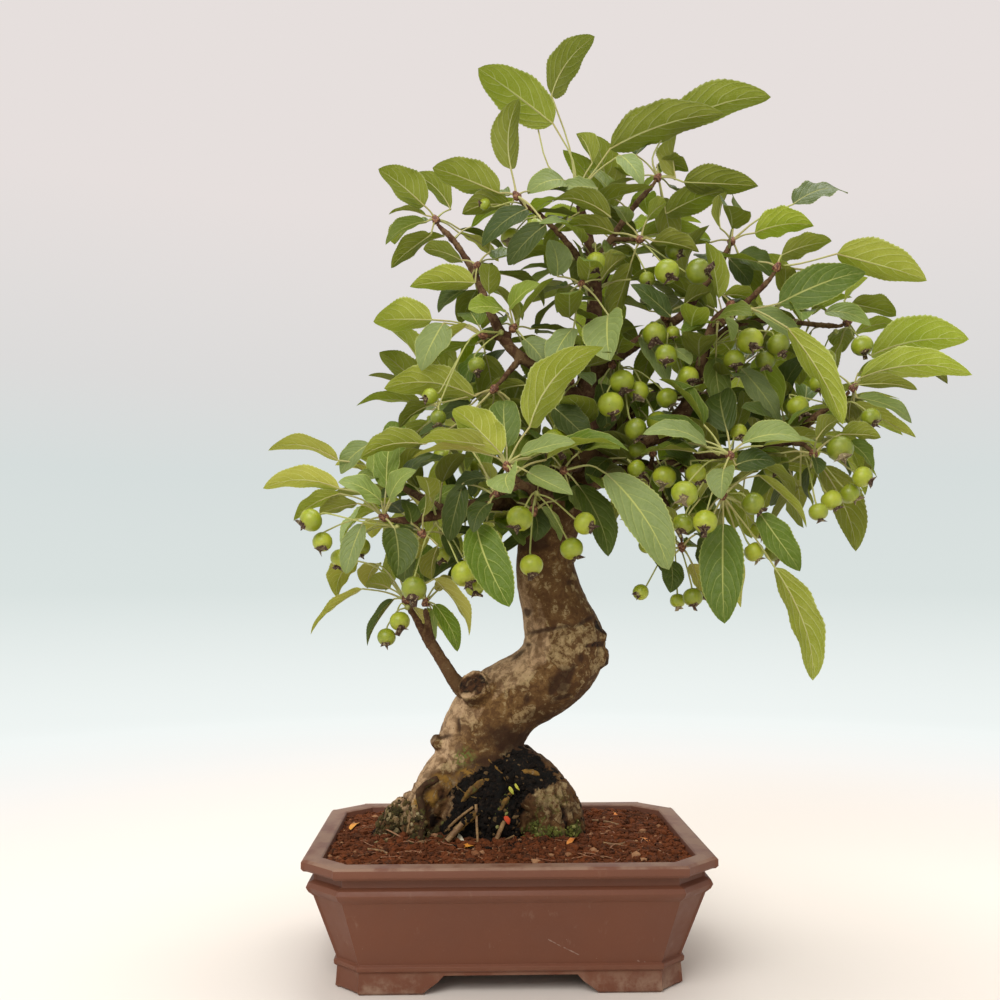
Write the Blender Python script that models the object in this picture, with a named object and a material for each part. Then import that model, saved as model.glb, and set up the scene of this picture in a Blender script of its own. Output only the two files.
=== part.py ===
"""Hall crabapple bonsai in a rectangular unglazed clay pot.

The tree is one grown solid of trunk, roots and branches. Each spur carries a leafy spray, and some
carry a bunch of fruit. Places on the tree are given as seen from the front: x and z in millimetres on
the upright plane through the pot's middle, and y as the depth behind that plane.
"""
import math
import random

import bmesh
import bpy
from mathutils import Matrix, Vector
from mathutils.bvhtree import BVHTree

# Driving dimensions, in millimetres
MM = 0.001
POT_LENGTH = 220.0
POT_DEPTH = 165.0
POT_HEIGHT = 69.7
POT_CORNER = 19.0
RIM_WIDTH = 10.5
FLOOR_TOP = 17.5
FOOT_HEIGHT = 9.8
FOOT_WALL = 12.0
ARCH_LENGTH = 70.0
SIDE_ARCH_LENGTH = 40.0
DRAIN_HOLE = 18.0
SOIL_TOP = 66.4
GAP = 0.35
DEPTH_SPREAD = 1.4
BLADE_THICKNESS = 1.3
PETIOLE = 1.5
PEDICEL = 1.3
KNOB = 1.7
FLAT = 3.0
TWIG_TIP = 2.1
BUD_SCALES = 2.9
ROOT_CLEARANCE = 0.6
STALK_BEND = 6.0

# Blade sections: share of the length, share of the width, and how far the waved edge rises or dips.
# A short or narrow leaf takes the first list, and a leaf inside the canopy the last one.
SHORT_LEAF = 28.0
NARROW_LEAF = 13.0
SHORT_BLADE = ((0.3, 0.9, 0.5), (0.68, 0.85, -0.3))
LONG_BLADE = ((0.22, 0.8, 0.7), (0.48, 1.0, -0.4), (0.78, 0.64, 0.8))
INNER_BLADE = ((0.42, 1.0, 0.6),)

# Shifts in depth, bends of a fruit's stalk and turns of a far leaf that are tried in order to keep a
# piece clear of its neighbours
SHIFTS = (0, -5, 5, -10, 10, -16, 16, -23, 23, -31, 31)
ARCHES = ((0.1, 0.0), (-0.05, 0.15), (0.25, 0.1), (0.1, -0.2), (0.3, -0.1))
TURNS = (0.0, 0.4, -0.4, 0.8, -0.8, 1.3, -1.3, 2.0)

# Where the tree is looked at from, for reading places off the front view
EYE = Vector((-3.8, -637.6, 213.6))
POT_TURN = 0.0295

# Bevel resolutions of the round runs of wood: 10, 8, 6 and 4 sides
TRUNK_SIDES = 3
ROOT_SIDES = 2
BRANCH_SIDES = 1
THIN_SIDES = 0

# Trunk with its leader: x, z, depth and radius of each section
TRUNK = [
    (-12, 48, 20, 31), (-13, 70, 20, 33), (-13, 86, 20, 33), (-14, 100, 19, 30),
    (-16, 114, 18, 26.5), (-13, 127, 17, 25), (-5, 140, 15, 24), (6, 149, 14, 22.5),
    (19, 156, 12, 22.5), (30, 166, 11, 24), (34.5, 179, 10, 24.5), (31.5, 191, 9, 22),
    (28, 202, 8, 19.6), (24.5, 215, 7, 18.4), (22.8, 230, 6, 17), (26, 247, 4, 17),
    (32, 263, 3, 16), (39, 279, 2, 14), (46, 293, 1, 11), (50.5, 306, 0, 8.6), (50, 320, 0, 7.2),
    (49, 337, 0, 6.2), (51, 355, 0, 5.6), (53, 373, 0, 5), (54, 391, 0, 4.4), (53, 410, 2, 3.8),
    (49, 430, 3, 3.2), (45, 446, 3, 2.7),
]

# Root lobes that spread from the trunk's foot into the soil
ROOTS = {
    "right": [(-2, 108, 8, 13), (11, 101, 5, 16), (23, 89, 4, 16.5), (29, 75, 4, 16.5), (31, 48, 4, 16)],
    "right_outer": [(22, 98, 14, 9), (33, 88, 15, 9), (38, 74, 15, 8.2), (39, 48, 15, 7.6)],
    "left": [(-28, 112, 12, 12), (-37, 101, 7, 13), (-45, 88, 4, 12), (-50, 74, 4, 11.5), (-52, 48, 4, 11)],
    "far_left": [(-44, 92, 10, 8), (-56, 85, 8, 7.5), (-66, 77, 6, 7), (-73, 66, 6, 6.4), (-75, 48, 6, 6)],
    "middle": [(-12, 104, 10, 15), (-13, 84, 8, 17), (-12, 48, 8, 17)],
    "back_right": [(4, 110, 28, 13), (18, 96, 38, 13), (28, 78, 45, 11), (31, 48, 47, 10)],
    "back_left": [(-30, 110, 28, 12), (-42, 94, 38, 12), (-51, 76, 45, 10), (-54, 48, 47, 9)],
    "back": [(-12, 108, 34, 14), (-12, 88, 43, 13), (-12, 48, 48, 11)],
    "stray_left": [(-40, 100, -6, 2), (-51, 93, -8, 2.2), (-49, 78, -10, 2.1), (-51, 56, -12, 2)],
    "stray_front": [(-10, 84, -8, 2), (-22, 77, -15, 2.3), (-35, 64, -19, 2.4), (-40, 57, -20, 2.2)],
}

# Old pruning stub and the callus knobs of the trunk
KNOBS = {
    "pruned_stub": [(-8, 143, 10, 12), (-15, 149, 2, 10.5), (-20.5, 155, -7, 9.6)],
    "upper_knob": [(42, 181, 8, 12), (52, 182.5, 5, 8), (59, 181, 4, 3.6)],
    "lower_knob": [(42, 170, 6, 12), (54, 170.5, 4, 8), (60.5, 170.5, 3, 4.2)],
    "left_knob": [(-33, 118, 12, 8), (-40, 121, 8, 4.8), (-43.5, 123, 6, 3)],
}

# Branches, from inside what they grow from to their tips
BRANCHES = {
    "young": [(-20, 146, 9, 7), (-30, 156, 6, 5.2), (-38, 168, 4, 4.3), (-45, 179, 2, 4)],
    "young_left": [(-44.5, 177, 2, 3.6), (-50.5, 187, 0, 3.2), (-54, 194, -1, 2.8), (-58, 200, -2, 2.5)],
    "young_right": [(-45, 178, 2, 3.4), (-46, 188, 3, 2.8), (-48, 198, 4, 2.4)],
    "crown": [(53, 405, 1, 3.4), (64, 424, 5, 3), (78, 444, 10, 2.6), (90, 458, 13, 2.2)],
    "crown_left": [(54, 398, 1, 3.4), (38, 421, -6, 2.8), (22, 438, -15, 2.4), (10, 446, -22, 2.1)],
    "right_main": [(42, 284, 2, 9), (72, 297, 4, 7), (97, 307, 4, 6.5), (112, 326, 3, 5.2),
                   (119, 350, 2, 4.2), (126, 372, -2, 3.4), (133, 380, -6, 2.6)],
    "right_high": [(50, 338, 0, 5), (80, 360, 8, 4.2), (106, 376, 7, 3.6), (118, 392, 7, 3.2),
                   (128, 405, 8, 2.8), (136, 419, 10, 2.3)],
    "far_right_high": [(124, 366, -1, 3.2), (142, 381, -5, 2.8), (156, 394, -10, 2.4), (163, 402, -13, 2.2)],
    "far_right": [(120, 357, 2, 3.4), (140, 371, 8, 2.9), (165, 374, 12, 2.6), (188, 371, 13, 2.4),
                  (203, 370, 13, 2.1)],
    "right_low": [(40, 274, 5, 8), (88, 283, 16, 5.4), (125, 287, 12, 4.4), (148, 292, 8, 3.8),
                  (171, 301, 2, 3.4), (186, 314, -6, 3), (198, 323, -11, 2.6), (206, 328, -15, 2.2)],
    "right_spur": [(167, 299, 3, 2.8), (178, 298, -12, 2.5), (183, 294, -21, 2.1)],
    "right_front": [(108, 287, 13, 4), (118, 291, -12, 3.4), (128, 291, -34, 2.8), (133, 291, -49, 2.2)],
    "right_hang": [(124, 287, 12, 3.6), (127, 280, -10, 3), (130, 271, -30, 2.3)],
    "middle_hang": [(84, 282, 14, 4), (94, 264, -2, 3.2), (101, 250, -14, 2.7), (105, 241, -20, 2.2)],
    "left_low": [(26, 258, 2, 9), (6, 262, -8, 6), (-18, 261, -18, 4.8), (-38, 256, -24, 4),
                 (-57, 252, -29, 3.2), (-68, 252, -32, 2.4)],
    "left_mid": [(-34, 257, -22, 3.4), (-52, 266, -4, 3), (-67, 274, 5, 2.4)],
    "front_middle": [(34, 266, 0, 8), (22, 268, -26, 4.6), (10, 273, -48, 3.4), (2, 280, -66, 2.5)],
    "front_right": [(42, 284, 0, 6), (42, 284, -18, 3.8), (36, 282, -36, 2.6)],
    "left_high": [(49, 320, 0, 6), (28, 340, -8, 4.8), (5, 354, -16, 4.2), (-8, 375, -14, 3.6),
                  (-19, 402, -4, 3), (-32, 423, 6, 2.6), (-41, 432, 10, 2.2)],
    "back_left": [(42, 286, 4, 7), (26, 288, 24, 5), (4, 302, 40, 4.2), (-18, 304, 48, 3.4),
                  (-34, 316, 60, 2.6)],
    "back_right": [(50, 304, 2, 7), (66, 310, 26, 5), (92, 328, 38, 4.2), (116, 326, 54, 3.4),
                   (136, 338, 62, 2.6)],
    "back_low": [(28, 254, 6, 7), (14, 250, 26, 4.8), (-6, 260, 40, 3.8), (-28, 256, 48, 3.2),
                 (-44, 264, 58, 2.4)],
    "back_high": [(53, 370, 1, 4.4), (52, 384, 18, 3.4), (62, 404, 28, 2.8), (64, 418, 40, 2.3)],
    "back_far_right": [(130, 288, 11, 3.6), (146, 286, 30, 3), (162, 300, 40, 2.6), (176, 306, 52, 2.2)],
}

# Leafy sprays: where the bud sits, then each leaf as base x and z, tip x and z, seen width, the way
# it faces (0 top to the front, 90 edge on, 180 underside to the front), how far its tip lies behind
# the bud and, for a bent stalk, the point that the stalk passes through
SPRAYS = {
    "crown_left": ((8, 449, -24), [
        (3, 468, 6, 512, 19, 150, -5, (5, 459)), (-4, 453, -45, 470, 22, 145, -8),
        (3, 445, -27, 441, 14, 140, 6), (13, 443, -15, 421, 14, 40, -8), (24, 433, 1, 408, 15, 35, 10)]),
    "crown_top": ((44, 449, 3), [
        (29, 497, -17, 533, 28, 150, -12, (41, 474)), (28, 515, 54, 553, 20, 145, 8, (39, 482)),
        (19, 497, 5, 519, 10, 130, 14, (26, 470)), (36, 461, 14, 455, 14, 45, -16),
        (64, 481, 134, 505, 26, 150, -8, (55, 468)),
        (53, 472, 45, 491, 12, 120, 6), (64, 438, 27, 450, 13, 140, -22, (56, 440)),
        (56, 456, 33, 457, 8, 55, -10), (70, 477, 84, 459, 12, 30, -16)]),
    "crown_right": ((92, 461, 14), [
        (98, 491, 163, 515, 24, 150, -6, (90, 475)), (80, 477, 92, 488, 8, 60, 10),
        (93, 471, 112, 468, 12, 130, 8), (104, 463, 104, 489, 16, 120, 6),
        (109, 460, 155, 458, 19, 145, -8), (98, 440, 133, 456, 18, 140, -6)]),
    "middle_top": ((80, 424, -12), [
        (66, 428, 32, 430, 12, 130, -8), (90, 423, 118, 417, 12, 130, 4), (86, 436, 98, 447, 9, 120, 10),
        (74, 434, 64, 446, 9, 60, 8)]),
    "right_top": ((137, 421, 11), [
        (131, 431, 134, 453, 8, 110, 4), (139, 431, 138, 454, 8, 70, 8), (152, 428, 188, 434, 18, 140, -6),
        (176, 446, 210, 456, 12, 60, 6, (155, 437)), (142, 415, 163, 402, 14, 40, -8),
        (136, 412, 149, 396, 12, 35, 6)]),
    "right_mid_top": ((164, 404, -14), [
        (168, 414, 199, 423, 14, 140, 6), (202, 415, 257, 400, 24, 145, -10, (180, 409)),
        (222, 413, 247, 403, 9, 55, 10, (192, 405))]),
    "right_mid": ((135, 382, -9), [
        (166, 384, 220, 405, 24, 20, -12, (150, 381)), (171, 369, 204, 310, 18, 140, -14, (154, 379)),
        (132, 376, 137, 361, 6, 60, -10), (150, 380, 181, 361, 12, 45, 10), (132, 389, 151, 386, 9, 120, 8),
        (142, 344, 166, 310, 14, 35, 4, (139, 364))]),
    "far_right": ((205, 371, 13), [
        (210, 384, 237, 378, 12, 130, 6), (194, 379, 222, 371, 11, 45, -14), (212, 366, 236, 372, 8, 130, 4),
        (221, 352, 281, 362, 24, 140, -8, (212, 361)), (206, 386, 219, 401, 7, 110, 4)]),
    "far_right_low": ((208, 330, -16), [
        (214, 338, 281, 342, 20, 150, -6), (213, 334, 249, 332, 9, 130, -16), (213, 341, 243, 349, 9, 120, 8),
        (212, 326, 246, 313, 8, 60, -8), (210, 323, 247, 302, 8, 130, 6),
        (240, 355, 268, 337, 9, 120, 14, (224, 346))]),
    "right_low": ((184, 293, -23), [
        (202, 304, 226, 303, 11, 130, -8), (187, 301, 199, 313, 12, 130, 8), (185, 290, 187, 280, 8, 40, -16),
        (206, 299, 221, 281, 9, 50, 6, (195, 300)),
        (189, 285, 211, 235, 20, 140, 10), (183, 284, 182, 263, 5, 60, 14)]),
    "right_front": ((134, 291, -52), [
        (121, 296, 84, 306, 11, 50, -16), (142, 298, 178, 302, 13, 50, -12), (138, 285, 162, 287, 14, 30, -4),
        (131, 283, 129, 265, 17, 25, -18)]),
    "right_hang": ((130, 268, -34), [
        (130, 250, 129, 191, 27, 12, -14), (152, 256, 176, 222, 17, 30, -10, (142, 262)),
        (160, 224, 184, 158, 19, 145, -6, (149, 241)), (152, 279, 182, 250, 6, 110, 2, (141, 276)),
        (120, 244, 118, 217, 6, 60, 12), (141, 226, 139, 200, 7, 130, 12, (137, 246))]),
    "middle_hang": ((105, 238, -22), [
        (98, 228, 98, 209, 14, 20, -8), (88, 231, 96, 220, 7, 40, 10), (111, 226, 117, 208, 11, 140, 6),
        (114, 244, 124, 236, 10, 60, -10)]),
    "front_right": ((35, 282, -40), [
        (60, 280, 98, 224, 26, 25, -26, (50, 285)), (43, 273, 62, 231, 18, 40, -10),
        (38, 271, 52, 257, 12, 35, 6)]),
    "front_centre": ((1, 283, -70), [
        (14, 308, 56, 359, 25, 140, -4), (-3, 292, -31, 321, 24, 150, -12), (-10, 297, -53, 302, 11, 120, -6),
        (-9, 291, -57, 292, 8, 110, 6), (8, 291, 41, 300, 10, 60, -16),
        (3, 281, 2, 269, 21, 40, -26), (13, 281, 40, 268, 14, 30, -10)]),
    "front_left": ((-4, 268, -44), [
        (-18, 249, 2, 201, 27, 15, -22), (-10, 262, -20, 246, 13, 30, -20), (-12, 277, -32, 270, 8, 60, 0),
        (-26, 274, -35, 239, 15, 30, 6), (-22, 296, -47, 300, 6, 110, 12), (-8, 273, -17, 286, 10, 130, 8)]),
    "front_fruit": ((16, 260, -44), [
        (15, 260, 18, 240, 15, 30, -10), (21, 260, 34, 240, 6, 50, 4), (20, 276, 27, 290, 12, 60, 12)]),
    "left_low": ((-52, 246, -32), [
        (-50, 254, -52, 276, 7, 110, 10), (-41, 237, -45, 217, 10, 120, 14), (-56, 234, -61, 213, 11, 25, 8),
        (-57, 250, -63, 265, 13, 50, 4), (-38, 244, -28, 229, 10, 40, 6)]),
    "left_far": ((-71, 253, -34), [
        (-75, 263, -100, 276, 13, 55, -14), (-70, 264, -56, 283, 12, 55, -10),
        (-67, 247, -65, 219, 23, 15, -14), (-86, 250, -96, 220, 13, 25, -8),
        (-100, 268, -128, 253, 10, 130, 2, (-86, 264)),
        (-89, 262, -112, 256, 9, 120, 10), (-100, 271, -146, 272, 14, 140, -6, (-85, 267))]),
    "left_mid": ((-69, 276, 6), [
        (-80, 278, -72, 298, 10, 30, -6), (-64, 279, -48, 294, 8, 120, 0), (-101, 288, -142, 297, 10, 125, 4),
        (-82, 298, -100, 280, 12, 40, 4, (-76, 288)), (-83, 280, -102, 286, 7, 130, 12)]),
    "left_high": ((-12, 364, -24), [
        (-45, 374, -81, 374, 27, 145, -8, (-28, 372)), (-38, 372, -52, 344, 19, 30, -12, (-26, 370)),
        (-23, 371, -46, 345, 7, 110, -4), (-13, 354, -26, 333, 10, 60, -8)]),
    "left_upper": ((-6, 333, -28), [
        (-19, 327, -74, 332, 20, 150, -12), (-49, 298, -88, 291, 14, 140, -4, (-26, 313)),
        (-44, 322, -65, 309, 9, 120, 10, (-26, 326)), (-21, 322, -40, 314, 10, 35, 10),
        (2, 325, 0, 310, 10, 60, 4)]),
    "centre_stem": ((3, 367, -20), [
        (-1, 380, -23, 381, 11, 60, -12), (2, 381, 20, 397, 10, 60, -10), (8, 375, 29, 400, 6, 100, 2),
        (11, 362, 24, 346, 14, 35, -4)]),
    "left_top": ((-42, 434, 10), [
        (-50, 445, -78, 469, 21, 145, -8), (-34, 443, -56, 466, 12, 130, 8), (-49, 439, -72, 441, 5, 95, 0),
        (-49, 435, -74, 421, 9, 60, -4), (-46, 427, -71, 407, 12, 130, 4), (-38, 426, -57, 414, 6, 110, 10)]),
    "left_top_low": ((-18, 406, -10), [
        (-27, 411, -50, 419, 10, 120, 10), (-19, 397, -59, 395, 17, 145, -8), (-24, 393, -42, 379, 10, 50, 8),
        (-10, 416, -4, 436, 10, 110, 6)]),
    "young_left": ((-59, 202, -3), [
        (-86, 211, -118, 186, 7, 110, -6, (-72, 209)), (-69, 211, -84, 214, 14, 140, -8),
        (-67, 205, -84, 178, 6, 70, -4), (-91, 228, -102, 207, 20, 140, 8, (-76, 223)),
        (-77, 226, -83, 212, 12, 140, 14, (-70, 220))]),
    "young_right": ((-48, 200, 4), [
        (-43, 217, -20, 184, 8, 120, -14, (-50, 212)), (-43, 202, -28, 175, 11, 30, -8),
        (-42, 199, -43, 179, 7, 50, 10), (-43, 212, -30, 216, 9, 130, 6), (-54, 209, -60, 222, 8, 120, 10)]),
    "middle": ((97, 375, -2), [
        (100, 376, 77, 397, 12, 40, -8), (82, 364, 98, 335, 14, 30, -16),
        (108, 383, 124, 392, 10, 120, 8)]),
    "centre_right": ((64, 346, -9), [
        (57, 335, 60, 305, 16, 30, 2)]),
    "centre_low": ((88, 291, -6), [
        (95, 295, 113, 291, 11, 35, 6), (62, 289, 49, 274, 12, 30, -16, (76, 290)),
        (92, 286, 100, 262, 12, 40, -6)]),
    "leader_mid": ((47, 396, -14), [
        (31, 401, 27, 424, 18, 20, -8), (62, 377, 62, 350, 30, 30, -24), (56, 386, 30, 384, 6, 80, -8),
        (41, 369, 27, 345, 15, 35, -8), (58, 399, 72, 414, 10, 120, 10)]),
    "leader_low": ((38, 336, -20), [
        (29, 320, 51, 299, 18, 30, -6), (12, 334, -16, 322, 8, 120, 4),
        (24, 318, 31, 304, 10, 130, 8)]),
}

# Bunches of fruit: the place on the branches that a bunch hangs from, then each fruit as x, z, radius,
# depth and the way that its calyx points in the front view, in degrees from straight down
BUNCHES = {
    "crown_left": ((14, 443, -6), [(3, 425, 6.5, -28, -25), (18, 430, 7, -32, -30)]),
    "middle_top": ((66, 426, 3), [
        (55, 410, 6.5, -18, 0), (98, 404, 8, -26, 10), (117, 404, 8, -22, 75), (86, 399, 5, -14, 0),
        (103, 417, 6, -10, 40)]),
    "right_mid": ((121, 358, 1), [
        (138, 349, 6.7, -16, 0), (148, 361, 8, -22, 10), (165, 359, 7, -16, 20), (157, 349, 6, -10, 0),
        (123, 360, 4, -12, 0)]),
    "middle": ((96, 371, 7), [
        (90, 365, 7.5, -22, 0), (101, 366, 4.5, -10, 0), (97, 352, 7, -28, -10), (110, 339, 6.7, -18, 20)]),
    "centre_right": ((64, 348, 4), [
        (70, 336, 7.5, -28, 10), (80, 330, 6.5, -20, -20), (63, 322, 8, -36, 10), (78, 307, 7, -28, 25),
        (97, 326, 6.5, -12, 30), (91, 312, 6.5, -8, 20)]),
    "centre_low": ((88, 282, 14), [
        (79, 294, 5.5, -12, 10), (78, 283, 5.5, -20, 40), (95, 278, 7, -30, -20), (84, 237, 5.3, -26, 20)]),
    "right_front": ((128, 289, -38), [
        (107, 268, 8, -68, -25), (119, 251, 7.5, -66, -20), (106, 250, 6.5, -54, -20),
        (114, 280, 6.5, -42, 20), (140, 305, 5.3, -46, 0)]),
    "right_hang": ((129, 272, -28), [
        (148, 262, 7, -46, 45), (148, 233, 6, -38, 30), (160, 233, 6, -30, 30), (151, 246, 5.5, -24, 20),
        (160, 283, 5.4, -24, 30)]),
    "middle_hang": ((104, 243, -18), [
        (102, 204, 4.6, -16, 0), (111, 206, 6, -28, 0), (117, 209, 5, -12, 10), (80, 209, 5, -18, -50)]),
    "front_fruit": ((14, 270, -42), [
        (8, 253, 8, -62, -25), (47, 250, 7, -60, 60), (39, 235, 7, -48, 25), (15, 225, 7.3, -46, 5)]),
    "left_low": ((-44, 252, -26), [
        (-55, 211, 8, -54, 0), (-38, 231, 5, -14, 0), (-25, 220, 8, -46, 30), (-19, 212, 6, -34, 10)]),
    "left_far": ((-66, 250, -31), [
        (-117, 252, 7.3, -44, -55), (-110, 239, 6.3, -36, 0), (-87, 236, 6, -28, 0),
        (-99, 229, 6, -22, -20)]),
    "left_high": ((-4, 362, -8), [
        (-18, 346, 5.5, -34, 10), (-46, 327, 5.2, -42, -60), (-41, 314, 5, -34, 0)]),
    "leader_low": ((36, 332, -3), [(30, 299, 8.5, -36, 10), (42, 360, 5, -16, 0)]),
    "right_low": ((181, 295, -7), [
        (201, 295, 8.3, -38, 0), (187, 257, 5.7, -42, 10), (195, 264, 6.5, -34, 30), (214, 278, 6.3, -34, 50),
        (206, 268, 6.3, -26, 40)]),
    "far_right": ((203, 325, -4), [(220, 314, 6.3, -30, 20), (176, 321, 7, -2, 30), (189, 335, 6, 8, 0)]),
    "far_right_top": ((200, 369, 2), [(216, 358, 6.5, -6, 0), (194, 350, 6, 20, 0)]),
    "back_left": ((-20, 304, 49), [(-22, 284, 7, 62, 0), (-38, 290, 6.5, 72, 0), (-10, 276, 7, 58, 0)]),
    "back_right": ((120, 328, 56), [(112, 308, 7, 72, 0), (130, 306, 6.5, 78, 0), (122, 292, 7, 66, 0)]),
}

# Sprays on the far side, grown by rule: bud and number of leaves
BACK_SPRAYS = {
    "back_left": ((-37, 318, 63), 10),
    "back_right": ((139, 340, 65), 10),
    "back_low": ((-47, 265, 61), 8),
    "back_high": ((65, 421, 43), 9),
    "back_far_right": ((179, 308, 54), 8),
}
CANOPY_CENTRE = (50, 335, 0)
GOLDEN_TURN = math.radians(137.5)

# Leaves on the far side of each seen spray, which lean back and in towards the middle of the canopy
INNER_LEAVES = 3


def place(x, z, y):
    """The real place of a point seen at x, z on the front plane and lying at depth y."""
    reach = (y - EYE.y) / -EYE.y
    point = EYE + (Vector((x, 0.0, z)) - EYE) * reach
    return Matrix.Rotation(-POT_TURN, 3, "Z") @ point * MM


def reach_at(y):
    return (y - EYE.y) / -EYE.y


def view_axis(point):
    """Unit direction from a point towards the place that the front is looked at from."""
    eye = Matrix.Rotation(-POT_TURN, 3, "Z") @ EYE * MM
    return (eye - point).normalized()


def new_collection(name):
    collection = bpy.data.collections.new(name)
    bpy.context.scene.collection.children.link(collection)
    return collection


def material(name, colour, roughness, metallic=0.0):
    made = bpy.data.materials.new(name)
    made.use_nodes = True
    shader = made.node_tree.nodes["Principled BSDF"]
    shader.inputs["Base Color"].default_value = (*colour, 1.0)
    shader.inputs["Roughness"].default_value = roughness
    shader.inputs["Metallic"].default_value = metallic
    return made


def mesh_object(name, mesh, collection):
    made = bpy.data.objects.new(name, mesh)
    collection.objects.link(made)
    return made


def mesh_from(name, points, faces):
    mesh = bpy.data.meshes.new(name)
    mesh.from_pydata([tuple(p) for p in points], [], faces)
    shape = bmesh.new()
    shape.from_mesh(mesh)
    bmesh.ops.triangulate(shape, faces=shape.faces)
    bmesh.ops.recalc_face_normals(shape, faces=shape.faces)
    shape.to_mesh(mesh)
    shape.free()
    return mesh


def tube_mesh(name, stations, resolution):
    """A tapered tube along stations of place and radius, as a welded mesh."""
    curve = bpy.data.curves.new(name, "CURVE")
    curve.dimensions = "3D"
    curve.bevel_depth = 1.0
    curve.bevel_resolution = resolution
    curve.use_fill_caps = True
    spline = curve.splines.new("POLY")
    spline.points.add(len(stations) - 1)
    for point, (where, radius) in zip(spline.points, stations):
        point.co = (*where, 1.0)
        point.radius = radius
    holder = bpy.data.objects.new(name, curve)
    bpy.context.scene.collection.objects.link(holder)
    bpy.context.view_layer.update()
    evaluated = holder.evaluated_get(bpy.context.evaluated_depsgraph_get())
    mesh = bpy.data.meshes.new_from_object(evaluated)
    bpy.data.objects.remove(holder)
    bpy.data.curves.remove(curve)
    shape = bmesh.new()
    shape.from_mesh(mesh)
    bmesh.ops.remove_doubles(shape, verts=shape.verts, dist=0.00001)
    bmesh.ops.recalc_face_normals(shape, faces=shape.faces)
    shape.to_mesh(mesh)
    shape.free()
    return mesh


def limb_stations(rows, grow=0.0):
    stations = []
    for x, z, y, radius in rows:
        stations.append((place(x, z, y), (radius * reach_at(y) + grow) * MM))
    return stations


def boolean(target, operation, collection=None, cutter=None, solver="EXACT"):
    """Apply one Boolean modifier to the target."""
    modifier = target.modifiers.new("boolean", "BOOLEAN")
    modifier.operation = operation
    modifier.solver = solver
    if collection:
        modifier.operand_type = "COLLECTION"
        modifier.collection = collection
    else:
        modifier.object = cutter
    bpy.context.view_layer.update()
    evaluated = target.evaluated_get(bpy.context.evaluated_depsgraph_get())
    mesh = bpy.data.meshes.new_from_object(evaluated)
    target.modifiers.clear()
    target.data = mesh


def joined(name, meshes, collection, cutters):
    """One object that is the union of several meshes, by the first solver that leaves it closed."""
    target = mesh_object(name, meshes[0], collection)
    for index, mesh in enumerate(meshes[1:]):
        repeat = mesh_object(f"{name}_repeat_{index}", mesh, cutters)
        repeat.hide_render = True
        repeat.display_type = "WIRE"
    for solver in ("MANIFOLD", "EXACT"):
        target.data = meshes[0]
        boolean(target, "UNION", collection=cutters, solver=solver)
        if keep_largest(target.data):
            break
    for repeat in list(cutters.objects):
        bpy.data.objects.remove(repeat)
    return target


def face_islands(shape):
    """Groups of faces that hold together along their edges, the largest first."""
    unseen = set(shape.faces)
    islands = []
    while unseen:
        front = [unseen.pop()]
        island = list(front)
        while front:
            for edge in front.pop().edges:
                for face in edge.link_faces:
                    if face in unseen:
                        unseen.discard(face)
                        island.append(face)
                        front.append(face)
        islands.append(island)
    return sorted(islands, key=len, reverse=True)


def keep_largest(mesh):
    """Keep the one body, without loose scraps, sealed hollows or needless points in flat faces.

    Returns whether every edge of it joins two faces.
    """
    for flat in (FLAT, FLAT / 8, 0.0):
        shape = bmesh.new()
        shape.from_mesh(mesh)
        bmesh.ops.remove_doubles(shape, verts=shape.verts, dist=0.000001)
        for island in face_islands(shape)[1:]:
            bmesh.ops.delete(shape, geom=island, context="FACES")
        if flat:
            bmesh.ops.dissolve_limit(shape, angle_limit=math.radians(flat), verts=shape.verts,
                                     edges=shape.edges)
        bmesh.ops.triangulate(shape, faces=shape.faces)
        closed = all(edge.is_manifold for edge in shape.edges)
        if closed or not flat:
            shape.to_mesh(mesh)
        shape.free()
        if closed:
            return True
    return False


def pot_outline(half_length, half_depth, corner, step):
    """Sixteen points of a cut-cornered rectangle whose corner faces lie a little inside."""
    points = []
    for sx, sy, first_long in ((1, -1, True), (1, 1, False), (-1, 1, True), (-1, -1, False)):
        long_side = [(half_length - corner, half_depth), (half_length - corner + 0.4, half_depth - step)]
        short_side = [(half_length - step, half_depth - corner + 0.4), (half_length, half_depth - corner)]
        run = long_side + short_side if first_long else short_side[::-1] + long_side[::-1]
        points += [(x * sx, y * sy) for x, y in run]
    return points


def ring_points(level, half_length, half_depth, corner, step):
    outline = pot_outline(half_length, half_depth, corner, step)
    return [Vector((x, y, level)) * MM for x, y in outline]


def bridge(count, start, first, second, faces):
    """Faces between two rings of the same count."""
    for i in range(count):
        j = (i + 1) % count
        faces.append((start + first * count + i, start + first * count + j,
                      start + second * count + j, start + second * count + i))


def loft_rings(name, rings):
    """A closed mesh through rings of equal count, capped at both ends."""
    count = len(rings[0])
    points = [p for ring in rings for p in ring]
    faces = [tuple(range(count - 1, -1, -1))]
    for level in range(len(rings) - 1):
        bridge(count, 0, level, level + 1, faces)
    last = (len(rings) - 1) * count
    faces.append(tuple(range(last, last + count)))
    return mesh_from(name, points, faces)


def pot_levels():
    """Outer profile from the feet up: height, then inset from the rim's half length and half depth."""
    return [
        (0.0, 18.6, 21.4), (1.4, 17.2, 20.0), (11.2, 17.9, 20.6), (12.6, 16.4, 19.0), (14.8, 16.2, 18.8),
        (15.6, 17.8, 20.2), (50.5, 6.2, 6.4), (51.6, 5.0, 5.2), (53.0, 3.6, 3.8), (55.3, 2.5, 2.7),
        (57.6, 3.5, 3.7), (58.8, 6.2, 6.4), (62.4, 6.4, 6.6), (63.8, 1.2, 1.2), (65.2, 0.0, 0.0),
        (68.6, 0.0, 0.0), (POT_HEIGHT, 1.4, 1.4),
    ]


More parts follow.
